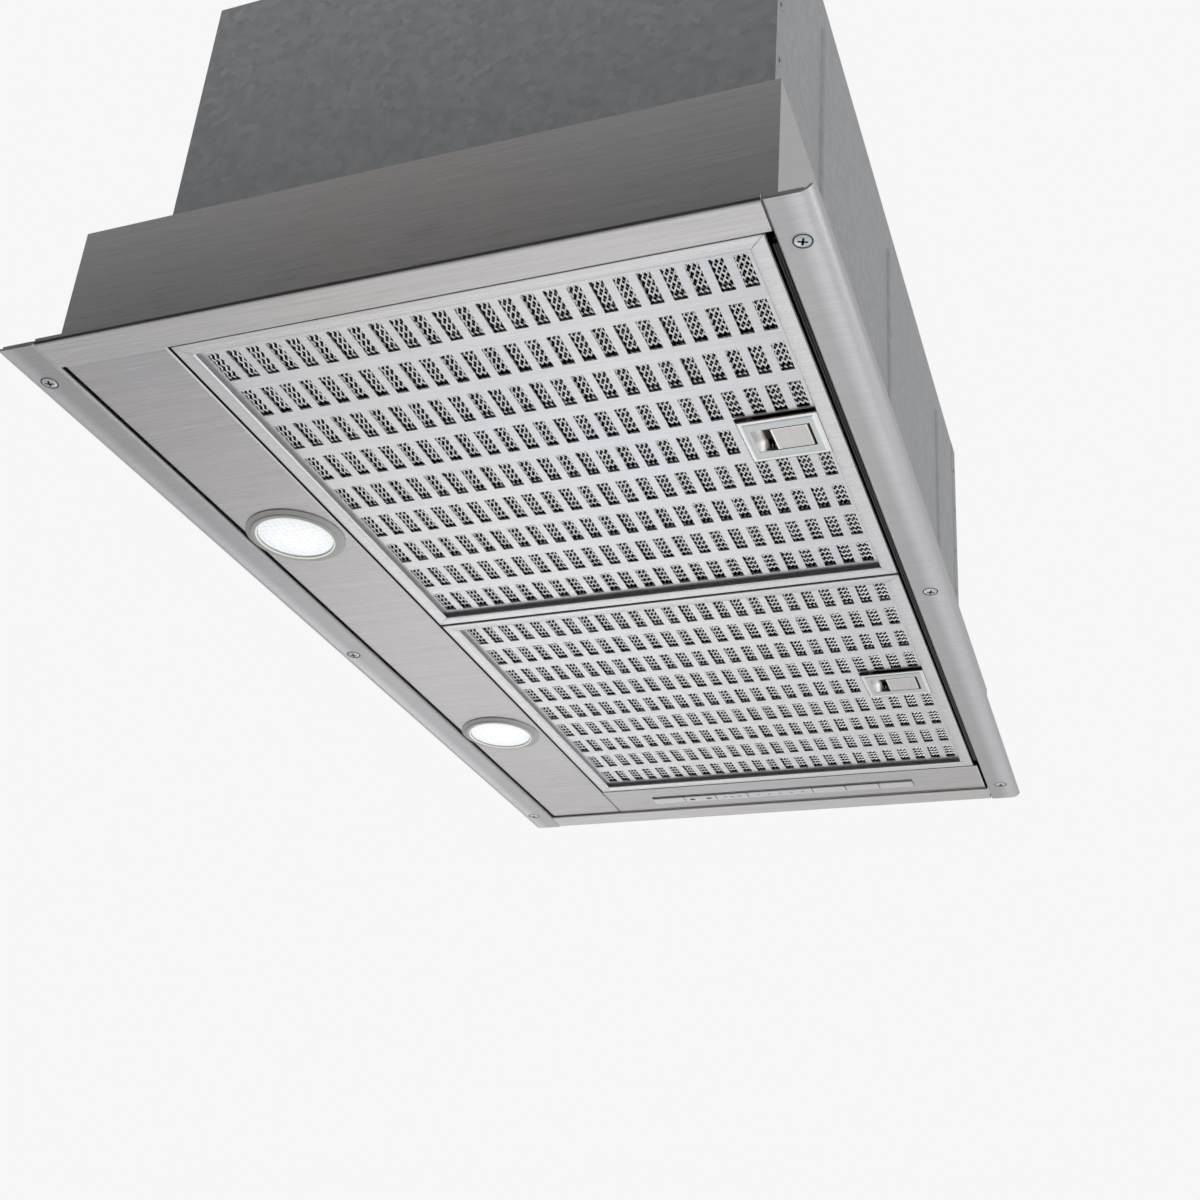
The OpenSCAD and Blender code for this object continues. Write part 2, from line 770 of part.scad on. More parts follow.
// latch plate: a thin cover over a housing with a scooped finger pocket and two side channels for the springs
module latch_plate(i) {
    w = latch_w;
    d = latch_d;
    b = 0.5;
    low = plate_z + 0.9;
    in = 0.8;
    scoop = 4;
    top = back_z;
    py = pocket_y0 - latch_y0;
    color("lightgoldenrodyellow") filter_place(i) translate([filter_w / 2, latch_y0, 0]) difference() {
        union() {
            translate([in - w / 2, in, low]) cube([w - 2 * in, d - 2 * in, top - low]);
            intersection() {
                translate([0, d / 2, 0]) along_y(d) polygon(concat([[w / 2, low], [-w / 2, low]],
                    arc([b - w / 2, plate_z + b], b, 180, 270, 4),
                    arc([w / 2 - b, plate_z + b], b, 270, 360, 4)));
                along_x(w) polygon(concat([[d, low], [0, low]],
                    arc([b, plate_z + b], b, 180, 270, 4),
                    arc([d - b, plate_z + b], b, 270, 360, 4)));
            }
        }
        along_x(pocket_w) polygon(concat(
            [[py, plate_z - cut], [py, pocket_top]],
            arc([py + pocket_d - scoop, pocket_top - scoop], scoop, 90, 0, 8),
            [[py + pocket_d, plate_z - cut]]));
        for (s = [-1, 1]) translate([s > 0 ? pocket_w / 2 - cut : -pocket_w / 2 - channel_w, ear_y0 - latch_y0 - 1, channel_z])
            cube([channel_w + cut, ear_d + spring_l + 1, top]);
        translate([-bolt_w / 2 - touch, -cut, bolt_z - touch])
            cube([bolt_w + 2 * touch, py + 2 * cut, bolt_t + 2 * touch]);
    }
}

// latch paddle, with its bolt in front and an ear in each side channel
module latch_paddle(i) {
    h = pocket_top - touch - plate_z;
    lead = 1;
    scoop = 3.5;
    tip = -bolt_reach;
    color("lightsteelblue") filter_place(i) translate([filter_w / 2, 0, 0]) {
        along_x(paddle_w) polygon(concat(
            [[paddle_y0, plate_z + 0.4], [paddle_y0 + 0.4, plate_z], [paddle_y0 + paddle_d, plate_z],
             [paddle_y0 + paddle_d, plate_z + 1]],
            arc([paddle_y0 + paddle_d, plate_z + 1 + scoop], scoop, 270, 180, 6),
            [[paddle_y0 + paddle_d - scoop, plate_z + h], [paddle_y0, plate_z + h]]));
        along_x(bolt_w) polygon([[paddle_y0 + 1, bolt_z], [tip, bolt_z], [tip, bolt_z + bolt_t - lead],
            [tip + lead, bolt_z + bolt_t], [paddle_y0 + 1, bolt_z + bolt_t]]);
        for (s = [-1, 1]) translate([s > 0 ? 0 : -pocket_w / 2 - channel_w + touch, ear_y0, channel_z + touch])
            cube([pocket_w / 2 + channel_w - touch, ear_d, h + plate_z - channel_z - touch]);
    }
}

// a coil spring wound along +Y, as one tube
function coil_point(a, turns, r, len) = [r * cos(a), len * a / (360 * turns), r * sin(a)];

module coil(turns, r, wire, len) {
    sides = 6;
    steps = 10 * turns;
    rings = [for (k = [0:steps]) let (
            a = 360 * k / 10,
            c = coil_point(a, turns, r, len),
            out = [cos(a), 0, sin(a)],
            up = [0, 1, 0])
        for (j = [0:sides - 1]) c + wire / 2 * (out * cos(360 * j / sides) + up * sin(360 * j / sides))];
    skin = [for (k = [0:steps - 1], j = [0:sides - 1]) let (
            a = k * sides + j,
            b = k * sides + (j + 1) % sides)
        each [[a, b, b + sides], [a, b + sides, a + sides]]];
    caps = concat([for (j = [1:sides - 2]) [0, j + 1, j]],
        [for (j = [1:sides - 2]) let (s = steps * sides) [s, s + j, s + j + 1]]);
    polyhedron(rings, concat(skin, caps));
}

module latch_spring(i) {
    r = (spring_d - spring_wire) / 2;
    room = spring_wire / 2 + 0.05;
    color("gray") filter_place(i) for (s = [-1, 1])
        translate([filter_w / 2 + s * (pocket_w / 2 + channel_w / 2 - touch / 2), spring_y0 + room,
                   channel_z + touch + spring_d / 2]) coil(6, r, spring_wire, spring_l - 2 * room);
}

module left_filter_frame() {
    filter_frame(0);
}

module left_filter_face() {
    filter_face(0);
}

module left_filter_mesh() {
    filter_mesh(0);
}

module left_filter_back() {
    filter_back(0);
}

module left_latch_plate() {
    latch_plate(0);
}

module left_latch_paddle() {
    latch_paddle(0);
}

module left_latch_spring() {
    latch_spring(0);
}

module right_filter_frame() {
    filter_frame(1);
}

module right_filter_face() {
    filter_face(1);
}

module right_filter_mesh() {
    filter_mesh(1);
}

module right_filter_back() {
    filter_back(1);
}

module right_latch_plate() {
    latch_plate(1);
}

module right_latch_paddle() {
    latch_paddle(1);
}

module right_latch_spring() {
    latch_spring(1);
}

// blower box

collar_screw_at = collar_d / 2 + 9;
collar_screw_r = 2;

module blower_box() {
    l = box_l;
    d = box_d;
    t = box_t;
    f = box_flange_w;
    bead = 1.5;
    color("lightgray") difference() {
        union() {
            span([-l / 2, -d / 2, body_h], [l / 2, d / 2, box_top]);
            span([-l / 2 - f, -d / 2 - f, body_h], [l / 2 + f, d / 2 + f, body_h + t]);
            for (s = [-1, 1], x = [-l / 3, 0, l / 3]) translate([x, s * (d / 2 - 2), body_h + 20])
                cylinder(r = 2 + bead, h = box_h - 40, $fn = 24);
        }
        span([-l / 2 + t, -d / 2 + t, body_h - cut], [l / 2 - t, d / 2 - t, box_top - t]);
        translate([0, 0, box_top - t - cut]) cylinder(r = collar_d / 2 - collar_t - 1, h = 3 * cut + t, $fn = 96);
        translate([wire_hole[0], wire_hole[1], box_top - t - cut])
            cylinder(r = wire_hole_r + 0.5, h = 3 * cut + t, $fn = 32);
        at_collar_screws() cylinder(r = collar_screw_r, h = 6 * t, center = true, $fn = 24);
        at_box_screws() translate([0, 0, body_h])
            cylinder(d = box_screw_d + 0.4, h = 6 * t, center = true, $fn = 24);
    }
}

// a pan head screw, drawn with its head resting at height 0
module pan_screw(r, length) {
    difference() {
        union() {
            translate([0, 0, -length]) cylinder(r = r - 0.1, h = length, $fn = 24);
            cylinder(r = 2 * r, h = 1.3 * r, $fn = 32);
        }
        for (a = [0, 90]) rotate(a) translate([-1.2 * r, -r / 4, 0.6 * r]) cube([2.4 * r, r / 2, r]);
    }
}

module box_screws() {
    color("lightsteelblue") at_box_screws() translate([0, 0, body_h + box_t]) pan_screw(box_screw_d / 2, 8);
}

module at_collar_screws() {
    for (a = [0:90:270]) rotate(a) translate([collar_screw_at, 0, box_top]) children();
}

module collar_screws() {
    color("lightsteelblue") at_collar_screws() translate([0, 0, collar_base_t]) pan_screw(collar_screw_r, 8);
}

// fan casing: a spiral that opens upward into the outlet

function spiral(extra, n = 40) = [for (i = [0:n]) let (
        a = tongue_a + (360 - tongue_a) * i / n,
        r = scroll_in + scroll_grow * i / n + extra)
    r * [cos(a), sin(a)]];

function casing_outline(extra, top) = concat(
    [[throat_in - extra, top]], spiral(extra), [[throat_out + extra, top]]);

module casing_half() {
    top = box_top - box_t - fan_z;
    t = scroll_t;
    half = scroll_half;
    color("dimgray") translate([0, fan_y, fan_z]) rotate([90, 0, 90]) difference() {
        union() {
            linear_extrude(half) polygon(casing_outline(t, top));
            translate([throat_in - 8, top - 3, 0]) cube([throat_out - throat_in + 16, 3, half]);
            rotate_extrude($fn = 96) polygon([[inlet_r, half - t], [inlet_r, half + 6], [inlet_r + 2, half + 6],
                [inlet_r + 4, half + 3], [inlet_r + 6, half - t]]);
            for (a = [30, 150, 270]) rotate(a) translate([inlet_r + 14, 0, 0]) cylinder(r = 5, h = half, $fn = 24);
        }
        translate([0, 0, -cut]) linear_extrude(half - t + cut) polygon(casing_outline(0, top + cut));
        cylinder(r = inlet_r, h = half + 20, $fn = 96);
    }
}

module scroll_left() {
    mirror([1, 0, 0]) casing_half();
}

module scroll_right() {
    casing_half();
}

// impeller: forward-curved blades round a middle plate

function blade_outline() = let (ri = impeller_r - 11, ro = impeller_r - 0.5, c = [ri + 4.5, 8.2], rb = 8.5)
    concat(arc(c, rb + blade_t / 2, 240, 311, 6), arc(c, rb - blade_t / 2, 311, 240, 6));

module impeller() {
    h = impeller_l;
    plate = 2;
    color("darkslategray") translate([0, fan_y, fan_z]) rotate([0, 90, 0]) difference() {
        union() {
            linear_extrude(h - 2, center = true)
                for (i = [0:blade_n - 1]) rotate(360 * i / blade_n) polygon(blade_outline());
            cylinder(r = impeller_r - 2, h = plate, center = true, $fn = 96);
            cylinder(r = shaft_r + 10, h = hub_l, center = true, $fn = 48);
            for (s = [-1, 1]) translate([0, 0, s * (h / 2 - 1.5)]) rotate_extrude($fn = 96)
                polygon([[impeller_r - 9, -1.5], [impeller_r, -1.5], [impeller_r, 1.5], [impeller_r - 9, 1.5]]);
        }
        cylinder(r = shaft_r, h = h, center = true, $fn = 48);
    }
}

module fan_shaft() {
    x0 = motor_x - motor_l - 6;
    len = hub_l / 2 - x0;
    color("silver") translate([x0, fan_y, fan_z]) rotate([0, 90, 0]) {
        cylinder(r = shaft_r, h = len, $fn = 48);
        translate([0, 0, len]) cylinder(r = shaft_r + 2.5, h = 4, $fn = 6);
    }
}

module motor() {
    l = motor_l;
    r = motor_r;
    color("lightgray") translate([motor_x - l, fan_y, fan_z]) rotate([0, 90, 0]) difference() {
        union() {
            rotate_extrude($fn = 72) polygon(concat(
                [[0, 0], [r * 0.35, 0], [r * 0.35, 3]],
                arc([r - 8, 11], 8, -90, 0, 5),
                arc([r - 8, l - 11], 8, 0, 90, 5),
                [[r * 0.35, l - 3], [r * 0.35, l], [0, l]]));
            translate([0, 0, l / 2 - 9]) cylinder(r = r + 2, h = 18, $fn = 72);
        }
        translate([0, 0, -cut]) cylinder(r = shaft_r + running, h = l + 2 * cut, $fn = 48);
        for (a = [0:30:330]) rotate(a) translate([r - 3, -2, 10]) cube([8, 4, 8]);
    }
}

// three-armed bracket between the motor and the casing's left side
module motor_bracket() {
    x0 = -scroll_half;
    r = motor_r;
    reach = inlet_r + 14;
    mid = motor_x - motor_l / 2;
    color("gray") translate([0, fan_y, fan_z]) rotate([90, 0, 90]) {
        translate([0, 0, mid - 3]) difference() {
            cylinder(r = r + 6, h = 6, $fn = 72);
            translate([0, 0, -cut]) cylinder(r = r + 2, h = 6 + 2 * cut, $fn = 72);
        }
        for (a = [30, 150, 270]) rotate(a) difference() {
            union() {
                translate([r + 4, -5, mid - 3]) cube([reach - r - 4 + 5, 10, 3]);
                translate([reach + 2, -5, mid - 3]) cube([3, 10, x0 - mid + 3]);
                translate([reach - 5, -5, x0 - 3]) cube([10, 10, 3]);
            }
            translate([reach - 1.5, 0, x0 - 3 - cut]) cylinder(r = 2, h = 3 + 2 * cut, $fn = 20);
        }
    }
}

cap_r = 15;
cap_l = 60;
cap_at = [box_l / 2 - cap_l - 68, box_d / 2 - cap_r - 34];

module capacitor() {
    z = box_top - box_t - cap_r;
    color("white") translate([cap_at[0], cap_at[1], z]) rotate([0, 90, 0]) {
        cylinder(r = cap_r, h = cap_l, $fn = 48);
        for (s = [-1, 1]) translate([0, s * 5, -8]) cylinder(r = 1.5, h = 8, $fn = 20);
    }
}

module capacitor_strap() {
    z = box_top - box_t;
    r = cap_r + 0.05;
    t = 1.6;
    foot = 10;
    strap_w = 12;
    color("dimgray") translate([cap_at[0] + cap_l / 2, cap_at[1], 0]) along_x(strap_w) difference() {
        union() {
            translate([0, z - cap_r]) circle(r = r + t, $fn = 48);
            translate([-r - t, z - cap_r]) square([2 * (r + t), cap_r]);
            translate([-r - foot, z - t]) square([2 * (r + foot), t]);
        }
        translate([0, z - cap_r]) circle(r = r, $fn = 48);
        translate([-r, z - cap_r]) square([2 * r, cap_r + cut]);
        translate([-2 * r, z]) square([4 * r, r]);
    }
}

// outlet collar with two damper flaps on one rod

module outlet_collar() {
    ro = collar_d / 2;
    ri = ro - collar_t;
    color("black") translate([0, 0, box_top]) difference() {
        union() {
            rotate_extrude($fn = 120) polygon([
                [ri, 0], [ro + collar_base_w, 0], [ro + collar_base_w, collar_base_t], [ro, collar_base_t],
                [ro, collar_h - 2], [ro - 1, collar_h], [ri, collar_h]]);
            translate([0, 0, flap_z - box_top - flap_t / 2 - touch - 2]) rotate_extrude($fn = 120)
                polygon([[ri - 3, 0], [ri + 1, 0], [ri + 1, 2], [ri - 3, 2]]);
        }
        translate([0, 0, flap_z - box_top]) rotate([0, 90, 0])
            cylinder(r = rod_d / 2 + 0.02, h = 2 * (ro + 1), center = true, $fn = 32);
        translate([0, 0, -box_top]) at_collar_screws()
            cylinder(r = collar_screw_r, h = 4 * collar_base_t, center = true, $fn = 24);
    }
}

module damper_rod() {
    color("silver") translate([0, 0, flap_z]) rotate([0, 90, 0])
        cylinder(r = rod_d / 2, h = collar_d - 2 * touch, center = true, $fn = 32);
}

// a half-round flap on the +Y side, with two knuckles on the rod
module flap(knuckles) {
    k = 18;
    root = knuckle_r + 0.6;
    color("darkslategray") translate([0, 0, flap_z]) difference() {
        union() {
            intersection() {
                cylinder(r = flap_r, h = flap_t, center = true, $fn = 120);
                span([-flap_r, root, -flap_t], [flap_r, flap_r, flap_t]);
            }
            for (x = knuckles) translate([x, 0, 0]) {
                rotate([0, 90, 0]) cylinder(r = knuckle_r, h = k, center = true, $fn = 48);
                span([-k / 2, 0, -flap_t / 2], [k / 2, root + 1, flap_t / 2]);
            }
            translate([0, flap_r * 0.45, flap_t / 2]) cube([flap_r, 2, 2], center = true);
        }
        rotate([0, 90, 0]) cylinder(r = rod_d / 2 + running, h = 3 * flap_r, center = true, $fn = 48);
    }
}

module rear_damper() {
    flap([-34, 24]);
}

module front_damper() {
    rotate(180) flap([-44, 14]);
}

// electronics box on the blower box, with a gland for the mains cable

lid_t = 2;
lid_over = 1;
lid_screw_r = 1.5;
lid_screw_l = 12;
lid_rib_in = 11;
elec_top = box_top + elec_h;

// the four corner posts of the electronics box, at its top
module at_lid_screws() {
    in = elec_t + elec_post_w / 2;
    for (x = [in, elec_l - in], y = [in, elec_d - in])
        translate([elec_x0 + x, elec_y0 + y, elec_top]) children();
}

// a block on the floor of the electronics box
module on_floor(at, size, lift) {
    translate([at[0], at[1], elec_t + lift]) cube(size);
}

module electronics_box() {
    t = elec_t;
    p = elec_post_w;
    color("dimgray") difference() {
        translate([elec_x0, elec_y0, box_top]) union() {
            difference() {
                cube([elec_l, elec_d, elec_h]);
                translate([t, t, t]) cube([elec_l - 2 * t, elec_d - 2 * t, elec_h]);
            }
            for (x = [t, elec_l - t - p], y = [t, elec_d - t - p]) on_floor([x, y], [p, p, elec_h - t], 0);
            on_floor(power_board_at, power_board, 0);
            on_floor(transformer_at, transformer, power_board[2]);
            on_floor(terminal_at, terminal, power_board[2]);
        }
        translate([wire_hole[0], wire_hole[1], box_top]) cylinder(r = wire_hole_r, h = 4 * t, center = true, $fn = 32);
        at_lid_screws() cylinder(r = lid_screw_r, h = 2 * lid_screw_l, center = true, $fn = 20);
        translate([gland_x, elec_y0 + elec_d, box_top + elec_h / 2]) rotate([90, 0, 0])
            cylinder(r = gland_r + 0.05, h = 4 * t, center = true, $fn = 48);
    }
}

module electronics_lid() {
    l = elec_l + 2 * lid_over;
    d = elec_d + 2 * lid_over;
    color("gray") difference() {
        translate([elec_x0 - lid_over, elec_y0 - lid_over, elec_top]) {
            cube([l, d, lid_t]);
            translate([lid_rib_in, lid_rib_in, lid_t])
                rect_ring(l - 2 * lid_rib_in, d - 2 * lid_rib_in, 2, 1);
        }
        at_lid_screws() cylinder(r = lid_screw_r, h = 4 * lid_t, center = true, $fn = 20);
    }
}

module lid_screws() {
    color("lightsteelblue") at_lid_screws() translate([0, 0, lid_t]) pan_screw(lid_screw_r, lid_screw_l);
}

module cable_gland() {
    r = cable_d / 2;
    inside = 5;
    nut_h = 5;
    cap_h = 9;
    color("black") translate([gland_x, elec_y0 + elec_d, box_top + elec_h / 2]) rotate([-90, 0, 0])
        difference() {
            union() {
                translate([0, 0, -inside]) cylinder(r = gland_r, h = inside + 1, $fn = 48);
                cylinder(r = gland_r + 3, h = nut_h, $fn = 6);
                translate([0, 0, nut_h]) cylinder(r1 = gland_r + 2, r2 = gland_r - 0.5, h = cap_h, $fn = 48);
            }
            translate([0, 0, -inside - cut]) cylinder(r = r + 0.2, h = inside + nut_h + cap_h + 2 * cut, $fn = 48);
        }
}

// inner wiring: tubes from the terminal block, through the floor hole, to the motor, the keys and the lamps

lead_r = 2.2;
box_edge = [box_l / 2, box_d / 2];
motor_end = motor_x - motor_l;
lamp_top = panel_z + 35.2;

function leads_out(dx) = let (x = wire_hole[0] + dx, y = elec_y0 + terminal_at[1]) [
    [x, y, box_top + 8], [x, y - 8, box_top + 8], [x, wire_hole[1], box_top + 3], [x, wire_hole[1] - 3, box_top - 6]];
motor_route = concat(leads_out(-5.4), [
    [wire_hole[0] - 20, 65 - box_edge[1], box_top - 14], [85, 29 - box_edge[1], box_top - 20],
    [0, 21 - box_edge[1], box_top - 24], [-90, 25 - box_edge[1], box_top - 35],
    [motor_end, fan_y - 57, fan_z + 65], [motor_end - 12, fan_y - 37, fan_z + 43],
    [motor_end - 10, fan_y - 18, fan_z + 23], [motor_end - 4, fan_y - 15, fan_z + 16],
    [motor_end + 3, fan_y - 15, fan_z + 16]]);
control_route = concat(leads_out(5.4), [
    [box_edge[0] - 68, key_slot_mid - 42, box_top - 25], [box_edge[0] - 42, key_slot_mid - 52, fan_z + 25],
    [box_edge[0] - 34, key_slot_mid - 52, body_h + 26], [box_edge[0] - 33, key_slot_mid - 48, body_h],
    [box_edge[0] - 18, key_slot_mid - 36, body_h - 18], [key_x - 12, key_slot_mid - 18, board_z + 30],
    [key_x - 1, key_slot_mid - 3, board_z + 22], [key_x, key_slot_mid, board_z + 15],
    [key_x, key_slot_mid, board_z + board_t + plug[2]]]);
lamp_route = concat(leads_out(0), [
    [box_edge[0] - 50, 20, box_top - 18], [box_edge[0] - 40, box_edge[1] - 61, fan_z + 25],
    [box_edge[0] - 48, box_edge[1] - 39, body_h + 26], [box_edge[0] - 64, box_edge[1] - 27, body_h - 2],
    [lamp_x + 26, lamp_y - 2, lamp_top + 16], [lamp_x + 8, lamp_y, lamp_top + 12],
    [lamp_x + 3.6, lamp_y, lamp_top + 7], [lamp_x + 3.6, lamp_y, lamp_top]]);
cross_route = [
    [-lamp_x, lamp_y, lamp_top], [-lamp_x, lamp_y, lamp_top + 7], [7 - lamp_x, lamp_y + 3, lamp_top + 12],
    [65 - lamp_x, lamp_y + 9, lamp_top + 16], [0, lamp_y + 11, lamp_top + 18],
    [lamp_x - 65, lamp_y + 9, lamp_top + 16], [lamp_x - 18, lamp_y + 3, lamp_top + 14],
    [lamp_x - 6, lamp_y, lamp_top + 12], [lamp_x - 3.6, lamp_y, lamp_top + 7], [lamp_x - 3.6, lamp_y, lamp_top]];

// a point along a route, smoothed between its corners
function route_point(p, s) = let (i = min(floor(s), len(p) - 2), u = s - i,
        a = p[max(i - 1, 0)], b = p[i], c = p[i + 1], d = p[min(i + 2, len(p) - 1)])
    0.5 * (2 * b + (c - a) * u + (2 * a - 5 * b + 4 * c - d) * u * u + (3 * b - a - 3 * c + d) * u * u * u);

module lead(p) {
    sides = 8;
    steps = 3 * (len(p) - 1);
    rings = [for (k = [0:steps]) let (
            s = k / 3,
            c = route_point(p, s),
            fwd = route_point(p, min(s + 0.05, len(p) - 1)) - route_point(p, max(s - 0.05, 0)),
            side = cross(fwd, [0.3, 0.9, 0.2]),
            e1 = side / norm(side),
            up = cross(fwd, e1),
            e2 = up / norm(up))
        for (j = [0:sides - 1]) c + lead_r * (e1 * cos(360 * j / sides) + e2 * sin(360 * j / sides))];
    skin = [for (k = [0:steps - 1], j = [0:sides - 1]) let (
            a = k * sides + j,
            b = k * sides + (j + 1) % sides)
        each [[a, b + sides, b], [a, a + sides, b + sides]]];
    caps = concat([for (j = [1:sides - 2]) [0, j, j + 1]],
        [for (j = [1:sides - 2]) let (s = steps * sides) [s, s + j + 1, s + j]]);
    polyhedron(rings, concat(skin, caps));
}

module inner_wiring() {
    color("white") {
        lead(motor_route);
        lead(control_route);
        lead(lamp_route);
        lead(cross_route);
    }
}

module left_lamp_ring() {
    lamp_ring(-1);
}

module left_lamp_lens() {
    lamp_lens(-1);
}

module left_lamp_body() {
    lamp_body(-1);
}

module right_lamp_ring() {
    lamp_ring(1);
}

module right_lamp_lens() {
    lamp_lens(1);
}

module right_lamp_body() {
    lamp_body(1);
}

body_pan();
front_strip();
rear_strip();
strip_screws();
filter_ledge();
front_seal();
light_panel();
control_panel();
key_carrier();
control_board();
light_key();
timer_key();
slower_key();
level_display();
faster_key();
boost_key();
end_piece();
left_lamp_ring();
left_lamp_lens();
left_lamp_body();
right_lamp_ring();
right_lamp_lens();
right_lamp_body();
lamp_clips();
left_filter_frame();
left_filter_face();
left_filter_mesh();
left_filter_back();
left_latch_plate();
left_latch_paddle();
left_latch_spring();
right_filter_frame();
right_filter_face();
right_filter_mesh();
right_filter_back();
right_latch_plate();
right_latch_paddle();
right_latch_spring();
blower_box();
box_screws();
scroll_left();
scroll_right();
impeller();
fan_shaft();
motor();
motor_bracket();
capacitor();
capacitor_strap();
outlet_collar();
collar_screws();
damper_rod();
front_damper();
rear_damper();
electronics_box();
electronics_lid();
lid_screws();
cable_gland();
inner_wiring();
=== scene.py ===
import bpy
from math import radians
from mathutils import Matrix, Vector


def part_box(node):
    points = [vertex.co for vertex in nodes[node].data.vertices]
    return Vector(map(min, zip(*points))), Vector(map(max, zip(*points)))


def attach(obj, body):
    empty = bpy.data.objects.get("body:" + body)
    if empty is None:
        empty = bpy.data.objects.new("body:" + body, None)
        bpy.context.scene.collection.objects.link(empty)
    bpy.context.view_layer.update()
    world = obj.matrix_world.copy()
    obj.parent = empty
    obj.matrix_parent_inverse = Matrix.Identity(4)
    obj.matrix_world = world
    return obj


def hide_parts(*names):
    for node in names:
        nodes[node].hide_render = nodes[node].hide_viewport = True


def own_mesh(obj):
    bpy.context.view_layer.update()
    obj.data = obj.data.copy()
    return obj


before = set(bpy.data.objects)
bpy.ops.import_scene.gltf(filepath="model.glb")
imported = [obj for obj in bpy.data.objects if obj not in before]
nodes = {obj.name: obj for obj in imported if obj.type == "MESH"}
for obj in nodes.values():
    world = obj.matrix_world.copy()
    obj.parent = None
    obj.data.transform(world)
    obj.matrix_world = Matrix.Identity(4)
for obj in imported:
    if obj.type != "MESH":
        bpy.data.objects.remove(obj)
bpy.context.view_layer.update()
scene = bpy.context.scene
print("hood solids:", len(nodes))


# camera, from the photo's vanishing lines and the strips' screws

camera = {
    "place": (-0.68626, -0.27537, -0.38550),
    "turn": (114.667, -3.481, -70.550),
    "lens": 46.283,
    "shift": (-0.03162, 0.08348),
}

bpy.ops.object.camera_add(location=camera["place"], rotation=[radians(a) for a in camera["turn"]])
eye = bpy.context.object
eye.name = "eye"
eye.data.lens = camera["lens"]
eye.data.sensor_width = 36
eye.data.shift_x, eye.data.shift_y = camera["shift"]
eye.data.clip_start = 0.01
scene.camera = eye
print("camera set")


# small helpers

def deselectAll():
    if bpy.context.object and bpy.context.object.mode != "OBJECT":
        bpy.ops.object.mode_set(mode="OBJECT")
    bpy.ops.object.select_all(action="DESELECT")


def pickOnly(obj):
    deselectAll()
    obj.select_set(True)
    bpy.context.view_layer.objects.active = obj


def settle(obj):  # leaves the piece's place in its mesh
    pickOnly(obj)
    bpy.ops.object.transform_apply(location=True, rotation=True, scale=True)


def applyAll(obj):
    pickOnly(obj)
    for mod in list(obj.modifiers):
        bpy.ops.object.modifier_apply(modifier=mod.name)


def joinedAs(parts, name):
    deselectAll()
    for part in parts:
        part.select_set(True)
    bpy.context.view_layer.objects.active = parts[0]
    bpy.ops.object.join()
    bpy.context.object.name = name
    return bpy.context.object


def spanOf(node):  # the middle of a piece's box, and half its size
    low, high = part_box(node)
    return (low + high) / 2, (high - low) / 2


def copyOf(obj, name, shift):
    other = obj.copy()
    other.data = obj.data.copy()
    other.name = name
    scene.collection.objects.link(other)
    other.location = shift
    settle(other)
    return other


# material nodes

def startMaterial(name):
    mat = bpy.data.materials.new(name)
    mat.use_nodes = True
    tree = mat.node_tree
    tree.nodes.clear()
    out = tree.nodes.new("ShaderNodeOutputMaterial")
    shader = tree.nodes.new("ShaderNodeBsdfPrincipled")
    tree.links.new(shader.outputs["BSDF"], out.inputs["Surface"])
    return mat, tree, shader


def noiseAt(tree, stretch, scale=1.0, detail=2.0, rough=0.5):
    coords = tree.nodes.new("ShaderNodeTexCoord")
    mapping = tree.nodes.new("ShaderNodeMapping")
    noise = tree.nodes.new("ShaderNodeTexNoise")
    mapping.inputs["Scale"].default_value = stretch
    noise.inputs["Scale"].default_value = scale
    noise.inputs["Detail"].default_value = detail
    noise.inputs["Roughness"].default_value = rough
    tree.links.new(coords.outputs["Object"], mapping.inputs["Vector"])
    tree.links.new(mapping.outputs["Vector"], noise.inputs["Vector"])
    return noise.outputs["Fac"]


def remap(tree, value, low, high, fromLow=0.3, fromHigh=0.7):
    node = tree.nodes.new("ShaderNodeMapRange")
    node.inputs["From Min"].default_value = fromLow
    node.inputs["From Max"].default_value = fromHigh
    node.inputs["To Min"].default_value = low
    node.inputs["To Max"].default_value = high
    tree.links.new(value, node.inputs["Value"])
    return node.outputs["Result"]


def rampOf(tree, value, stops):  # each stop: its place, and a colour or a grey level
    ramp = tree.nodes.new("ShaderNodeValToRGB")
    marks = ramp.color_ramp.elements
    while len(marks) < len(stops):
        marks.new(0.5)
    for mark, (at, colour) in zip(marks, stops):
        mark.position = at
        mark.color = (*colour, 1) if isinstance(colour, tuple) else (colour, colour, colour, 1)
    tree.links.new(value, ramp.inputs["Fac"])
    return ramp.outputs["Color"]


def mixed(tree, kind, a, b, share):
    node = tree.nodes.new("ShaderNodeMix")
    node.data_type = "RGBA"
    node.blend_type = kind
    if isinstance(share, float):
        node.inputs["Factor"].default_value = share
    else:
        tree.links.new(share, node.inputs["Factor"])
    tree.links.new(a, node.inputs["A"])
    tree.links.new(b, node.inputs["B"])
    return node.outputs["Result"]


def bumped(tree, shader, height, strength, depth):
    bump = tree.nodes.new("ShaderNodeBump")
    bump.inputs["Strength"].default_value = strength
    bump.inputs["Distance"].default_value = depth
    tree.links.new(height, bump.inputs["Height"])
    tree.links.new(bump.outputs["Normal"], shader.inputs["Normal"])


def shade(colour, amount):
    return tuple(min(1.0, c * amount) for c in colour)


def chained(tree, steps):  # math nodes one after the other
    value = None
    for kind, start, amount in steps:
        node = tree.nodes.new("ShaderNodeMath")
        node.operation = kind
        tree.links.new(value if start is None else start, node.inputs[0])
        node.inputs[1].default_value = amount
        value = node.outputs[0]
    return value


def paired(tree, kind, a, b):
    node = tree.nodes.new("ShaderNodeMath")
    node.operation = kind
    tree.links.new(a, node.inputs[0])
    tree.links.new(b, node.inputs[1])
    return node.outputs[0]


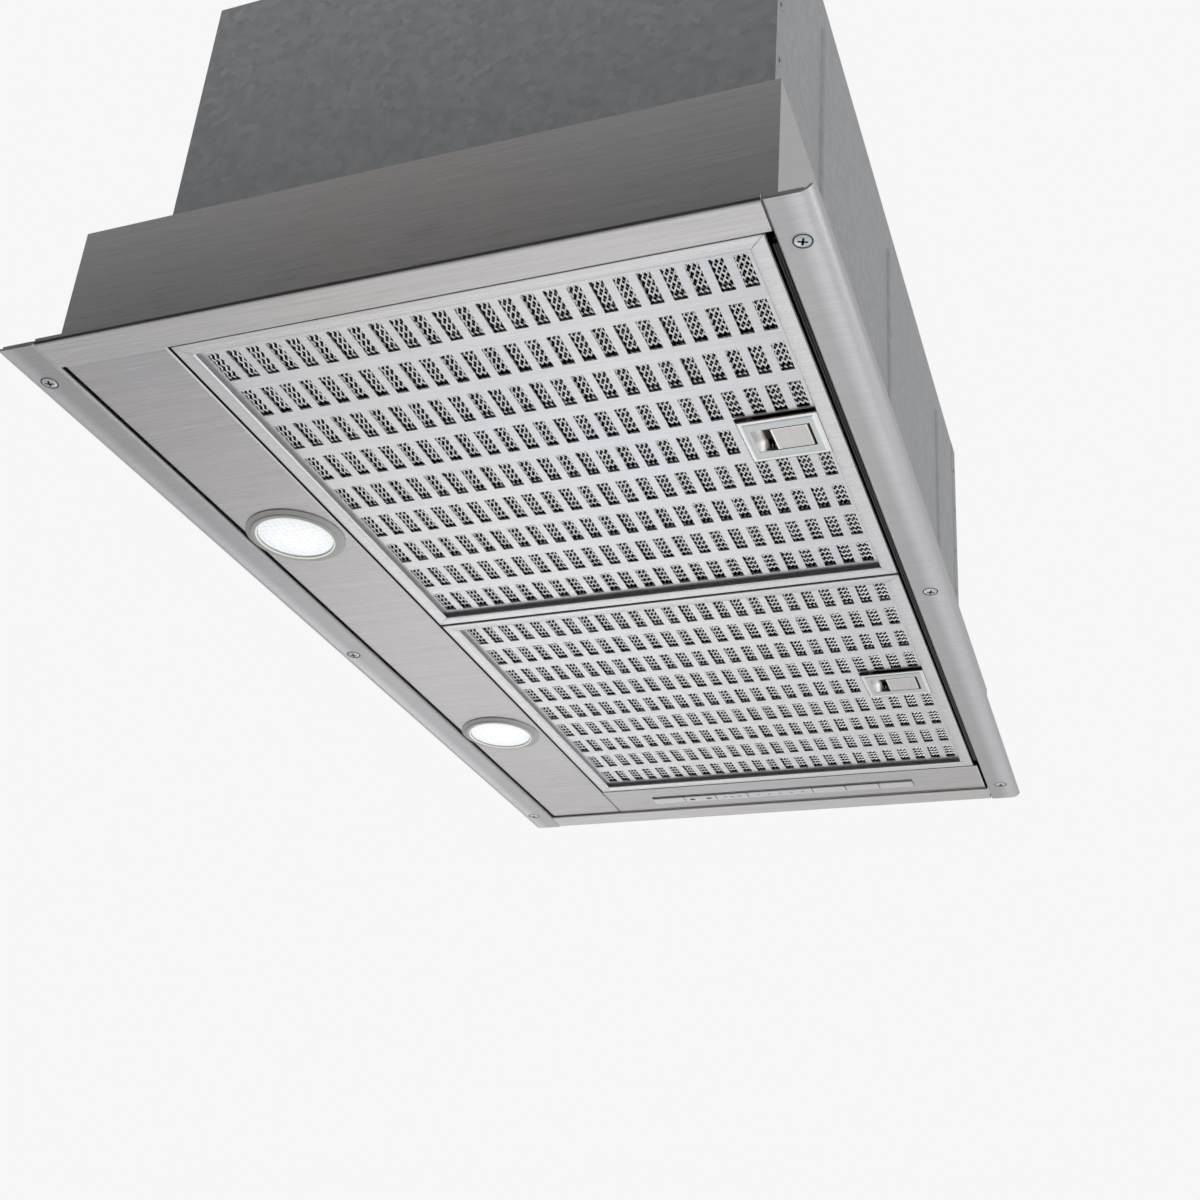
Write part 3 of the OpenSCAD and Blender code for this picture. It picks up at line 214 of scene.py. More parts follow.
def lengthOf(tree, x, y):
    squares = [chained(tree, [("POWER", way, 2.0)]) for way in (x, y)]
    return chained(tree, [("SQRT", paired(tree, "ADD", *squares), 0.0)])


def axesOf(tree):
    coords = tree.nodes.new("ShaderNodeTexCoord")
    axes = tree.nodes.new("ShaderNodeSeparateXYZ")
    tree.links.new(coords.outputs["Object"], axes.inputs["Vector"])
    return axes.outputs


# how far inside the edge of a rectangle, for one that both filters have in the same place
def edgeDistance(tree, field):
    axes = axesOf(tree)
    x = chained(tree, [("SUBTRACT", axes["X"], field["between"]), ("ABSOLUTE", None, 0.0),
                       ("SUBTRACT", None, field["apart"]), ("ABSOLUTE", None, 0.0),
                       ("SUBTRACT", None, field["half"][0]), ("MULTIPLY", None, -1.0)])
    y = chained(tree, [("SUBTRACT", axes["Y"], field["y"]), ("ABSOLUTE", None, 0.0),
                       ("SUBTRACT", None, field["half"][1]), ("MULTIPLY", None, -1.0)])
    return paired(tree, "MINIMUM", x, y)


scratchRise = 0.00002


# brushed sheet: long fine scratches, broad soft clouds, and a few darker hairlines
def brushedSheet(name, look):
    mat, tree, shader = startMaterial(name)
    along = look.get("along", "Y")
    fine, longWay = look["grain"]
    stretch = (1 / fine, 1 / longWay, 1 / fine) if along == "Y" else (1 / longWay, 1 / fine, 1 / fine)
    scratches = noiseAt(tree, stretch, detail=3.0, rough=0.6)
    hairs = noiseAt(tree, tuple(s * 0.35 for s in stretch), detail=1.0)
    clouds = noiseAt(tree, (9, 9, 9), detail=3.0)
    depth = look["contrast"]
    colour = look["colour"]
    grainTone = rampOf(tree, scratches, [(0.25, shade(colour, 1 - depth)), (0.5, colour),
                                         (0.78, shade(colour, 1 + depth))])
    cloudTone = rampOf(tree, clouds, [(0.3, look.get("cool", (0.97, 0.965, 1.0))),
                                      (0.7, look.get("warm", (1.0, 0.98, 0.975)))])
    hairTone = rampOf(tree, hairs, [(0.35, 0.93), (0.65, 1)])
    tone = mixed(tree, "MULTIPLY", grainTone, cloudTone, 1.0)
    tone = mixed(tree, "MULTIPLY", tone, hairTone, 1.0)
    if "outer" in look:  # another tone far from the hood's middle line: a painted highlight on the strips' rolled edges, painted shade on the filters' outer parts
        side = chained(tree, [("ABSOLUTE", axesOf(tree)["Y"], 0.0)])
        zone = remap(tree, side, 0.0, 1.0, *look["outer"]["zone"])
        tone = mixed(tree, "MULTIPLY", tone, rampOf(tree, zone, look["outer"]["tones"]), 1.0)
    if "paintedDepthShade" in look:  # painted shade: walls down in a gap are darkened
        zone = remap(tree, axesOf(tree)["Z"], 0.0, 1.0, *look["paintedDepthShade"]["zone"])
        tone = mixed(tree, "MULTIPLY", tone, rampOf(tree, zone, look["paintedDepthShade"]["tones"]), 1.0)
    height = scratches
    if "edge" in look:  # pressed profile along the edge, as a bump, with painted highlight and painted shade lines in its tones
        edge = look["edge"]
        reach = remap(tree, edgeDistance(tree, edge), 0.0, 1.0, 0.0, edge["reach"])
        tone = mixed(tree, "MULTIPLY", tone, rampOf(tree, reach, edge["tones"]), 1.0)
        height = rampOf(tree, reach, edge["profile"])
        fineRise = scratchRise / edge["depth"] * look["bump"]
        height = paired(tree, "ADD", height, remap(tree, scratches, 0.0, fineRise))
    tree.links.new(tone, shader.inputs["Base Color"])
    shader.inputs["Metallic"].default_value = look.get("metal", 1.0)
    low, high = look["rough"]
    tree.links.new(remap(tree, scratches, low, high), shader.inputs["Roughness"])
    if "edge" in look:
        bumped(tree, shader, height, 1.0, look["edge"]["depth"])
    else:
        bumped(tree, shader, height, look["bump"], scratchRise * 4)
    return mat


# moulded plastic, rubber, cast or painted parts: fine grain over soft clouds
def mouldedSkin(name, look):
    mat, tree, shader = startMaterial(name)
    size = look.get("size", 0.0008)
    grain = noiseAt(tree, (1 / size,) * 3, detail=3.0, rough=0.55)
    clouds = noiseAt(tree, (25, 25, 25), detail=2.0)
    colour = look["colour"]
    depth = look.get("contrast", 0.08)
    tone = rampOf(tree, grain, [(0.3, shade(colour, 1 - depth)), (0.7, shade(colour, 1 + depth))])
    cloudTone = rampOf(tree, clouds, [(0.3, 0.9), (0.7, 1)])
    tree.links.new(mixed(tree, "MULTIPLY", tone, cloudTone, 1.0), shader.inputs["Base Color"])
    shader.inputs["Metallic"].default_value = look.get("metal", 0.0)
    low, high = look.get("rough", (0.45, 0.6))
    tree.links.new(remap(tree, grain, low, high), shader.inputs["Roughness"])
    bumped(tree, shader, grain, look.get("bump", 0.2), size * 0.2)
    # painted glow: the part gives off light though it is no lamp
    if "glow" in look:
        shader.inputs["Emission Color"].default_value = (*colour, 1)
        shader.inputs["Emission Strength"].default_value = look["glow"]
    return mat


# galvanised sheet: overlapping zinc crystals
def zincSpangle(name, look):
    mat, tree, shader = startMaterial(name)
    colour = look["colour"]
    coords = tree.nodes.new("ShaderNodeTexCoord")
    cells = tree.nodes.new("ShaderNodeTexVoronoi")
    cells.inputs["Scale"].default_value = look["crystals"]
    tree.links.new(coords.outputs["Object"], cells.inputs["Vector"])
    split = tree.nodes.new("ShaderNodeSeparateColor")
    tree.links.new(cells.outputs["Color"], split.inputs["Color"])
    fine = noiseAt(tree, (900, 900, 900), detail=2.0)
    crystal = rampOf(tree, split.outputs["Red"], [(0.0, shade(colour, 0.93)), (0.5, colour),
                                                  (1.0, shade(colour, 1.05))])
    speck = rampOf(tree, fine, [(0.3, 0.94), (0.7, 1)])
    tree.links.new(mixed(tree, "MULTIPLY", crystal, speck, 1.0), shader.inputs["Base Color"])
    shader.inputs["Metallic"].default_value = look["metal"]
    tree.links.new(remap(tree, split.outputs["Green"], *look["rough"], 0.0, 1.0), shader.inputs["Roughness"])
    bumped(tree, shader, fine, 0.1, 0.0001)
    return mat


satinGrain = (900, 4000, 900)


# two finishes parted by height: a screw's head with painted shade in its cross, a sheet's underside painted
# dark as shade under its lighter top
def partedSkin(name, look):
    mat, tree, shader = startMaterial(name)
    high = remap(tree, axesOf(tree)["Z"], 0.0, 1.0, look["parting"], look["parting"] + look["blend"])
    satin = noiseAt(tree, satinGrain, detail=2.0)
    below = rampOf(tree, satin, [(0.3, shade(look["below"], 0.96)), (0.7, shade(look["below"], 1.03))])
    above = rampOf(tree, satin, [(0.3, shade(look["above"], 0.9)), (0.7, look["above"])])
    tree.links.new(mixed(tree, "MIX", below, above, high), shader.inputs["Base Color"])
    tree.links.new(remap(tree, high, 1.0, 0.0, 0.0, 1.0), shader.inputs["Metallic"])
    tree.links.new(remap(tree, high, *look["rough"], 0.0, 1.0), shader.inputs["Roughness"])
    bumped(tree, shader, satin, 0.06, 0.00006)
    return mat


# latch plate: a pale rim with a painted highlight round a cooler flat, painted shade in the pocket and on the
# outer walls, and a painted highlight with a painted glow on one scooped wall
def latchSkin(name, look):
    mat, tree, shader = startMaterial(name)
    axes = axesOf(tree)
    satin = noiseAt(tree, satinGrain, detail=2.0)
    reach = remap(tree, edgeDistance(tree, look), 0.0, 1.0, 0.0, look["reach"])
    cover = mixed(tree, "MULTIPLY", rampOf(tree, reach, look["tones"]),
                  rampOf(tree, satin, [(0.3, 0.97), (0.7, 1)]), 1.0)
    scoop = rampOf(tree, remap(tree, axes["Y"], 0.0, 1.0, *look["scoopZone"]), look["scoop"])
    inside = rampOf(tree, reach, [(0.45, look["black"]), (0.5, 1)])  # painted shade: the outer walls stay dark
    scoop = mixed(tree, "MULTIPLY", scoop, inside, 1.0)
    paintedDepthShade = remap(tree, axes["Z"], 0.0, 1.0, look["parting"], look["parting"] + look["blend"])
    tree.links.new(mixed(tree, "MIX", cover, scoop, paintedDepthShade), shader.inputs["Base Color"])
    shader.inputs["Metallic"].default_value = 1.0
    tree.links.new(remap(tree, paintedDepthShade, 0.2, 0.3, 0.0, 1.0), shader.inputs["Roughness"])
    # painted glow: the scooped wall's painted highlight also gives off light
    tree.links.new(scoop, shader.inputs["Emission Color"])
    tree.links.new(remap(tree, paintedDepthShade, 0.0, look["scoopPaintedGlow"], 0.0, 1.0), shader.inputs["Emission Strength"])
    bumped(tree, shader, rampOf(tree, reach, look["profile"]), 1.0, look["depth"])
    return mat


# lamp lens: a lit diffuser with a faint grid of bright points, cooler toward its edge
def litLens(name, look):
    mat, tree, shader = startMaterial(name)
    coords = tree.nodes.new("ShaderNodeTexCoord")
    cells = tree.nodes.new("ShaderNodeTexVoronoi")
    cells.inputs["Scale"].default_value = look["points"]
    cells.inputs["Randomness"].default_value = 0.3
    tree.links.new(coords.outputs["Object"], cells.inputs["Vector"])
    grid = rampOf(tree, remap(tree, cells.outputs["Distance"], 0.0, 1.0, 0.15, 0.6),
                  [(0.0, 1.0), (1.0, look["between"])])
    axes = axesOf(tree)
    across = chained(tree, [("ABSOLUTE", axes["X"], 0.0), ("SUBTRACT", None, look["middle"][0])])
    along = chained(tree, [("SUBTRACT", axes["Y"], look["middle"][1])])
    reach = remap(tree, lengthOf(tree, across, along), 0.0, 1.0, *look["edge"])
    edge = rampOf(tree, reach, [(0.0, 1), (1.0, look["rim"])])
    glow = mixed(tree, "MULTIPLY", grid, edge, 1.0)
    tree.links.new(glow, shader.inputs["Emission Color"])
    shader.inputs["Base Color"].default_value = (0.12, 0.12, 0.12, 1)
    shader.inputs["Emission Strength"].default_value = look["strength"]
    shader.inputs["Roughness"].default_value = 0.2
    return mat


def fieldOf(node, twin=None):  # for edgeDistance: a piece's rectangle, and that of its twin beside it
    mid, half = spanOf(node)
    other = spanOf(twin or node)[0]
    return {"between": (mid.x + other.x) / 2, "apart": (other.x - mid.x) / 2, "y": mid.y,
            "half": (half.x, half.y)}


filterField = fieldOf("left_filter_face", "right_filter_face")
rimHalf = spanOf("left_filter_frame")[1].x
panelLook = {"colour": (0.61, 0.60, 0.598), "grain": (0.00032, 0.028), "contrast": 0.15,
             "rough": (0.25, 0.38), "bump": 0.25}
# painted light along the panels' edges: a dark line at the gap, then a painted highlight on the bent edge
panelEdgePaintedLight = {"reach": 0.0025, "depth": 0.0003,
             "tones": [(0.0, 0.3), (0.1, 0.35), (0.18, 1.4), (0.34, 1.25), (0.5, 1)],
             "profile": [(0.0, 0.0), (0.3, 0.8), (0.5, 1.0)]}
# painted shade on the frame's inner walls, darker partway up them
rimPaintedShade = {"zone": [corner.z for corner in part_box("left_filter_frame")],
           "tones": [(0.04, 1), (0.08, (0.34, 0.33, 0.32)), (0.27, (0.34, 0.33, 0.32)), (0.36, 0.85)]}
# painted light on the frame: dark lines and a bright line by its outer edge, and a painted highlight at its
# inner edge
rimEdgePaintedLight = {**filterField, "half": (rimHalf, rimHalf), "reach": 0.0080, "depth": 0.0008,
           "tones": [(0.0, 0.2), (0.025, 0.7), (0.05, 0.3), (0.075, 0.35), (0.095, 1.2), (0.15, 1.03),
                     (0.6, 0.97), (0.84, 0.9), (0.88, 1.35)],
           "profile": [(0.0, 0.6), (0.14, 0.95), (0.4, 1.0), (0.82, 0.8), (1.0, 0.5)]}
# painted light on the paddle: a dark brown line round it, then a painted highlight on its bevel
paddleEdgePaintedLight = {**filterField, "y": -0.13065, "half": (0.0078, 0.00835), "reach": 0.0020, "depth": 0.00012,
              "tones": [(0.0, (0.3, 0.25, 0.22)), (0.10, (0.4, 0.35, 0.32)), (0.16, 1.4), (0.38, 1.35),
                        (0.45, 1)],
              "profile": [(0.0, 0.0), (0.14, 0.1), (0.42, 1.0)]}
brushedLooks = {
    "panSteel": {"colour": (0.70, 0.69, 0.682), "grain": (0.00035, 0.03), "contrast": 0.16,
                 "rough": (0.26, 0.40), "bump": 0.25},
    "lightSheet": {**panelLook, "edge": {**panelEdgePaintedLight, **fieldOf("light_panel")}},
    "controlSheet": {**panelLook, "edge": {**panelEdgePaintedLight, **fieldOf("control_panel")}},
    "stripSteel": {"colour": (0.58, 0.58, 0.583), "grain": (0.0003, 0.02), "contrast": 0.08,
                   "rough": (0.30, 0.38), "bump": 0.12,
                   # a painted highlight, lighter toward the strip's rolled outer edge
                   "outer": {"zone": (0.1630, 0.1720), "tones": [(0.0, 0.93), (0.55, (1.24, 1.24, 1.26))]}},
    "filterSheet": {"colour": (0.86, 0.855, 0.87), "grain": (0.00028, 0.012), "contrast": 0.07,
                    "rough": (0.30, 0.42), "bump": 0.12,
                    "cool": (0.93, 0.96, 1.0), "warm": (1.0, 0.99, 0.975),
                    # painted shade, darker over the filters' outer parts
                    "outer": {"zone": (0.078, 0.150), "tones": [(0.0, 1.03), (1.0, (0.90, 0.90, 0.905))]}},
    "filterRim": {"colour": (0.79, 0.79, 0.79), "grain": (0.0003, 0.02), "contrast": 0.04,
                  "rough": (0.24, 0.34), "bump": 0.1, "paintedDepthShade": rimPaintedShade, "edge": rimEdgePaintedLight},
    "latchNickel": {"colour": (0.70, 0.69, 0.665), "grain": (0.0002, 0.004), "along": "X", "contrast": 0.05,
                    "rough": (0.16, 0.26), "bump": 0.06, "edge": paddleEdgePaintedLight},
    "keySilver": {"colour": (0.76, 0.76, 0.77), "grain": (0.0002, 0.006), "contrast": 0.06,
                  "rough": (0.28, 0.36), "bump": 0.06},
}
mouldedLooks = {
    "meshWire": {"colour": (0.97, 0.97, 0.97), "metal": 1.0, "size": 0.0004, "rough": (0.16, 0.26),
                 "bump": 0.15},
    # the same wire as the front layer, painted near black as shade for the deeper layer
    "packWirePaintedShade": {"colour": (0.05, 0.05, 0.05), "metal": 1.0, "size": 0.0005, "rough": (0.35, 0.5),
                 "bump": 0.15},
    "screwZinc": {"colour": (0.56, 0.64, 0.74), "metal": 1.0, "size": 0.0005, "rough": (0.22, 0.34),
                  "bump": 0.1},
    "springWire": {"colour": (0.5, 0.5, 0.5), "metal": 1.0, "size": 0.0004, "rough": (0.25, 0.4), "bump": 0.1},
    "ribbedRubber": {"colour": (0.03, 0.03, 0.032), "size": 0.0005, "rough": (0.45, 0.6), "bump": 0.3},
    "ringPlastic": {"colour": (0.60, 0.60, 0.58), "size": 0.0006, "rough": (0.22, 0.3), "contrast": 0.03,
                    "bump": 0.05},
    "heatSink": {"colour": (0.06, 0.06, 0.065), "metal": 0.3, "size": 0.001, "rough": (0.45, 0.6)},
    "boardGreen": {"colour": (0.03, 0.17, 0.08), "size": 0.0012, "rough": (0.3, 0.45)},
    "blackNylon": {"colour": (0.045, 0.045, 0.048), "size": 0.0007, "rough": (0.42, 0.58)},
    "fanNylon": {"colour": (0.09, 0.1, 0.11), "size": 0.0008, "rough": (0.4, 0.55)},
    "casingGrey": {"colour": (0.34, 0.35, 0.36), "size": 0.001, "rough": (0.45, 0.62)},
    "boxGrey": {"colour": (0.42, 0.43, 0.44), "size": 0.0009, "rough": (0.42, 0.58)},
    "motorCast": {"colour": (0.58, 0.59, 0.6), "metal": 0.9, "size": 0.0015, "rough": (0.4, 0.6), "bump": 0.4},
    "canWhite": {"colour": (0.82, 0.82, 0.8), "size": 0.001, "rough": (0.35, 0.5), "contrast": 0.03},
    "leadWhite": {"colour": (0.78, 0.78, 0.75), "size": 0.0008, "rough": (0.45, 0.6), "contrast": 0.04},
    "markInk": {"colour": (0.05, 0.05, 0.055), "size": 0.0004, "rough": (0.5, 0.6), "bump": 0.02},
    "paleInk": {"colour": (0.22, 0.22, 0.225), "size": 0.0004, "rough": (0.5, 0.6), "bump": 0.02},
    # lips round the lamp glass, with a painted glow
    "lipGlassPaintedGlow": {"colour": (0.88, 0.88, 0.79), "size": 0.001, "rough": (0.08, 0.14), "contrast": 0.02,
                 "bump": 0.02, "glow": 0.4},
    "gapShade": {"colour": (0.015, 0.015, 0.016), "size": 0.0005, "rough": (0.6, 0.7), "bump": 0.05},
}
partedLooks = {
    # above: painted shade down in the cross of the head
    "screwHead": {"below": (0.60, 0.66, 0.71), "above": (0.035, 0.04, 0.05), "parting": -0.0031,
                  "blend": 0.0003, "rough": (0.2, 0.5)},
    # below: near black, painted shade for the underside seen through the mesh
    "backSheet": {"below": (0.045, 0.045, 0.045), "above": (0.46, 0.465, 0.47), "parting": 0.0075,
                  "blend": 0.0001, "rough": (0.45, 0.4)},
}
# a thin brown line at the outer edge, a painted highlight on the rim, the cooler flat; painted shade in the
# pocket, a painted highlight on its scooped wall
trayLook = {**fieldOf("left_latch_plate", "right_latch_plate"), "reach": 0.008, "depth": 0.0006,
            "tones": [(0.0, (0.66, 0.56, 0.48)), (0.04, (0.98, 0.96, 0.93)), (0.24, (0.90, 0.90, 0.89)),
                      (0.36, (0.62, 0.66, 0.67)), (1.0, (0.65, 0.69, 0.69))],
            "profile": [(0.0, 0.2), (0.1, 0.9), (0.2, 1.0), (0.26, 0.95), (0.38, 0.5)],
            "parting": -0.0004, "blend": 0.00005, "scoopPaintedGlow": 0.55, "black": (0.05, 0.045, 0.04),
            "scoopZone": (-0.1200, -0.1136),
            "scoop": [(0.0, (0.03, 0.022, 0.02)), (0.45, (0.04, 0.03, 0.025)), (0.72, (0.9, 0.88, 0.85)),
                      (0.9, (0.8, 0.79, 0.78)), (1.0, (0.3, 0.29, 0.28))]}
zincLook = {"colour": (0.50, 0.515, 0.53), "crystals": 260, "metal": 0.85, "rough": (0.42, 0.5)}
lensLook = {"points": 330, "between": (0.86, 0.87, 0.88), "strength": 0.93,
            "middle": spanOf("right_lamp_lens")[0].xy, "edge": (0.009, 0.0186), "rim": (0.84, 0.89, 0.93)}
materials = {name: brushedSheet(name, look) for name, look in brushedLooks.items()}
materials.update({name: mouldedSkin(name, look) for name, look in mouldedLooks.items()})
materials.update({name: partedSkin(name, look) for name, look in partedLooks.items()})
materials["latchTray"] = latchSkin("latchTray", trayLook)
materials["zinc"] = zincSpangle("zinc", zincLook)
materials["lens"] = litLens("lens", lensLook)
print("materials:", len(materials))


wears = {
    "panSteel": ["body_pan"],
    "lightSheet": ["light_panel"],
    "controlSheet": ["control_panel"],
    "stripSteel": ["front_strip", "rear_strip"],
    "filterSheet": ["left_filter_face", "right_filter_face"],
    "filterRim": ["left_filter_frame", "right_filter_frame"],
    "backSheet": ["left_filter_back", "right_filter_back"],
    "latchTray": ["left_latch_plate", "right_latch_plate"],
    "latchNickel": ["left_latch_paddle", "right_latch_paddle"],
    "keySilver": ["light_key", "timer_key", "slower_key", "level_display", "faster_key", "boost_key",
                  "end_piece"],
    "screwHead": ["strip_screws"],
    "screwZinc": ["box_screws", "collar_screws", "lid_screws"],
    "springWire": ["left_latch_spring", "right_latch_spring", "lamp_clips", "fan_shaft",
                   "damper_rod", "capacitor_strap"],
    "ribbedRubber": ["front_seal"],
    "zinc": ["filter_ledge", "blower_box", "motor_bracket"],
    "ringPlastic": ["left_lamp_ring", "right_lamp_ring"],
    "lens": ["left_lamp_lens", "right_lamp_lens"],
    "heatSink": ["left_lamp_body", "right_lamp_body"],
    "boardGreen": ["control_board"],
    "blackNylon": ["key_carrier", "outlet_collar", "cable_gland"],
    "fanNylon": ["impeller", "front_damper", "rear_damper"],
    "casingGrey": ["scroll_left", "scroll_right"],
    "boxGrey": ["electronics_box", "electronics_lid"],
    "motorCast": ["motor"],
    "canWhite": ["capacitor"],
    "leadWhite": ["inner_wiring"],
    "packWirePaintedShade": ["left_filter_mesh", "right_filter_mesh"],
}

for finish, names in wears.items():
    for name in names:
        solid = nodes[name]
        if not solid.material_slots:
            solid.data.materials.append(materials[finish])
        for place in solid.material_slots:
            place.link = "OBJECT"
            place.material = materials[finish]
bare = sorted(set(nodes) - {n for names in wears.values() for n in names})
print("solids dressed, bare ones:", bare)


# expanded metal of the grease filters, one zigzag strand modelled and repeated

frontMesh = {"longWay": 0.0041, "shortWay": 0.00215, "width": 0.00074, "thick": 0.00042, "tilt": 24,
             "rise": 0.0006, "metal": "meshWire"}
deepMesh = {"longWay": 0.0068, "shortWay": 0.0046, "width": 0.0019, "thick": 0.0006, "tilt": 30,
            "rise": 0.0030, "metal": "packWirePaintedShade"}
latchClear = 0.0008  # free room round the latch plate


def expandedMetal(name, look, node, latch):
    low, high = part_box(node)
    longWay, shortWay = look["longWay"], look["shortWay"]
    columns = int((high.x - low.x) / longWay)
    rows = int((high.y - low.y) / shortWay)
    x0 = (low.x + high.x) / 2 - columns * longWay / 2
    y0 = (low.y + high.y) / 2 - rows * shortWay / 2
    z0 = low.z + look["rise"]
    deselectAll()  # a three-sided strand: its flat face looks down, its ridge up
    bpy.ops.mesh.primitive_circle_add(vertices=3, radius=1, fill_type="NGON", location=(x0, y0, z0),
                                      rotation=(0, radians(90), 0))
    strand = bpy.context.object
    strand.name = name
    strand.scale = (look["width"] / 3 ** 0.5, look["thick"] / 1.5, 1)
    settle(strand)
    bpy.ops.object.mode_set(mode="EDIT")
    bpy.ops.mesh.select_mode(type="FACE")
    bpy.ops.mesh.select_all(action="SELECT")
    bpy.ops.transform.rotate(value=radians(look["tilt"] - 90), orient_axis="X", center_override=(x0, y0, z0))
    for step in (1, -1):
        bpy.ops.mesh.extrude_region_move(
            TRANSFORM_OT_translate={"value": (longWay / 2, step * shortWay / 2, 0)})
    bpy.ops.object.mode_set(mode="OBJECT")
    for face in strand.data.polygons:  # the two end faces go, so that the strand runs on
        face.select = abs(face.normal.x) > 0.99
    bpy.ops.object.mode_set(mode="EDIT")
    bpy.ops.mesh.delete(type="FACE")
    bpy.ops.mesh.select_all(action="SELECT")
    bpy.ops.mesh.normals_make_consistent(inside=False)
    bpy.ops.object.mode_set(mode="OBJECT")
    run = strand.modifiers.new("run", "ARRAY")
    run.use_relative_offset = False
    run.use_constant_offset = True
    run.constant_offset_displace = (longWay, 0, 0)
    run.count = columns
    run.use_merge_vertices = True
    run.merge_threshold = 0.00001
    applyAll(strand)
    bpy.ops.object.mode_set(mode="EDIT")
    bpy.ops.mesh.select_all(action="SELECT")
    bpy.ops.mesh.duplicate()
    bpy.ops.transform.resize(value=(1, -1, 1), center_override=(x0, y0 + shortWay / 2, z0))
    bpy.ops.mesh.select_all(action="SELECT")
    bpy.ops.mesh.normals_make_consistent(inside=False)
    bpy.ops.object.mode_set(mode="OBJECT")
    stack = strand.modifiers.new("stack", "ARRAY")
    stack.use_relative_offset = False
    stack.use_constant_offset = True
    stack.constant_offset_displace = (0, shortWay, 0)
    stack.count = rows
    applyAll(strand)
    low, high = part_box(latch)
    for face in strand.data.polygons:  # leaves the latch and its bolt free
        x, y = face.center.x, face.center.y
        face.select = low.x - latchClear < x < high.x + latchClear and y < high.y + latchClear
    bpy.ops.object.mode_set(mode="EDIT")
    bpy.ops.mesh.select_mode(type="FACE")
    bpy.ops.mesh.delete(type="FACE")
    bpy.ops.mesh.select_mode(type="VERT")
    bpy.ops.mesh.select_all(action="SELECT")
    bpy.ops.mesh.fill_holes(sides=4)
    bpy.ops.object.mode_set(mode="OBJECT")
    strand.data.materials.append(materials[look["metal"]])
    print(name, "faces:", len(strand.data.polygons))
    return strand


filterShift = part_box("right_filter_frame")[0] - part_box("left_filter_frame")[0]
leftMesh = expandedMetal("leftMesh", frontMesh, "left_filter_mesh", "left_latch_plate")
leftPack = expandedMetal("leftPack", deepMesh, "left_filter_mesh", "left_latch_plate")
rightMesh = copyOf(leftMesh, "rightMesh", filterShift)
rightPack = copyOf(leftPack, "rightPack", filterShift)
for side, pieces in (("left", (leftMesh, leftPack)), ("right", (rightMesh, rightPack))):
    for piece in pieces:
        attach(piece, side + "_filter")
    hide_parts(side + "_filter_mesh")
print("filter meshes made")


# rings round the lamps' glass, and round the screws' heads in the strips

def ringAt(name, place, radius, wire, look):
    deselectAll()
    bpy.ops.mesh.primitive_torus_add(location=place, major_radius=radius, minor_radius=wire[0],
                                     major_segments=96, minor_segments=12)
    ring = bpy.context.object
    ring.name = name
    bpy.ops.object.mode_set(mode="EDIT")
    bpy.ops.mesh.select_all(action="SELECT")
    bpy.ops.transform.resize(value=(1, 1, wire[1] / wire[0]), center_override=place)
    bpy.ops.object.mode_set(mode="OBJECT")
    settle(ring)
    bpy.ops.object.shade_smooth()
    ring.data.materials.append(materials[look])
    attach(ring, "hood")
    return ring


lampLips = {"radii": (0.0209, 0.0195), "wire": (0.00055, 0.0003), "look": "lipGlassPaintedGlow"}
for side in ("left", "right"):
    low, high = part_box(side + "_lamp_ring")
    mid = (low + high) / 2
    place = (mid.x, mid.y, low.z + lampLips["wire"][1])
    for i, radius in enumerate(lampLips["radii"]):
        lip = ringAt(side + "LampLip" + str(i), place, radius, lampLips["wire"], lampLips["look"])
print("lamp lips made")

headRings = {  # the shadow round each head, and the pressed edge of its hole
    "headGap": {"radius": 0.00352, "wire": (0.0003, 0.00005), "drop": 0.00001, "look": "gapShade"},
    "headLip": {"radius": 0.00415, "wire": (0.0003, 0.00009), "drop": 0.0, "look": "stripSteel"},
}
headRadius = 0.0034
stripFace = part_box("front_strip")[0].z
low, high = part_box("strip_screws")
screwPlaces = [(x, y) for x in (low.x + headRadius, 0.0, high.x - headRadius)
               for y in (low.y + headRadius, high.y - headRadius)]
for i, (x, y) in enumerate(screwPlaces):
    for name, size in headRings.items():
        place = (x, y, stripFace - size["drop"])
        ring = ringAt(name + str(i), place, size["radius"], size["wire"], size["look"])
print("screw rings made:", len(screwPlaces))


# printed marks of the control strip: plain dots and bars, with the last segment left bare

keyMarks = {  # each mark: shift along the strip, half its width, half its length
    "timer_key": {"body": "timer_key", "look": "markInk",
                  "marks": [(0.0058, 0.0013, 0.0020), (-0.0058, 0.0013, 0.0020)]},
    "slower_key": {"body": "slower_key", "look": "paleInk",
                   "marks": [(0.0050, 0.0006, 0.0016), (0.0, 0.0006, 0.0012), (-0.0050, 0.0006, 0.0016)]},
    "level_display": {"body": "hood", "look": "paleInk",
                      "marks": [(y, 0.0006, 0.0010) for y in (0.0154, 0.0077, 0.0, -0.0077, -0.0154)]},
}
ink = {"x": spanOf("key_carrier")[0].x, "drop": 0.00001, "halfThick": 0.00003}
for node, row in keyMarks.items():
    low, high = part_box(node)
    mid = (low + high) / 2
    dots = []
    for shift, halfWide, halfLong in row["marks"]:
        deselectAll()
        bpy.ops.mesh.primitive_cylinder_add(vertices=24, radius=1, depth=2,
                                            location=(ink["x"], mid.y + shift, low.z - ink["drop"]))
        dot = bpy.context.object
        dot.scale = (halfWide, halfLong, ink["halfThick"])
        settle(dot)
        dots.append(dot)
    inked = joinedAs(dots, node + "Marks")
    inked.data.materials.append(materials[row["look"]])
    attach(inked, row["body"])
print("key marks made")


# latch springs, drawn as coils

latchCoil = {"wire": 0.00035, "turns": 9, "keep": 0.6, "look": "springWire"}


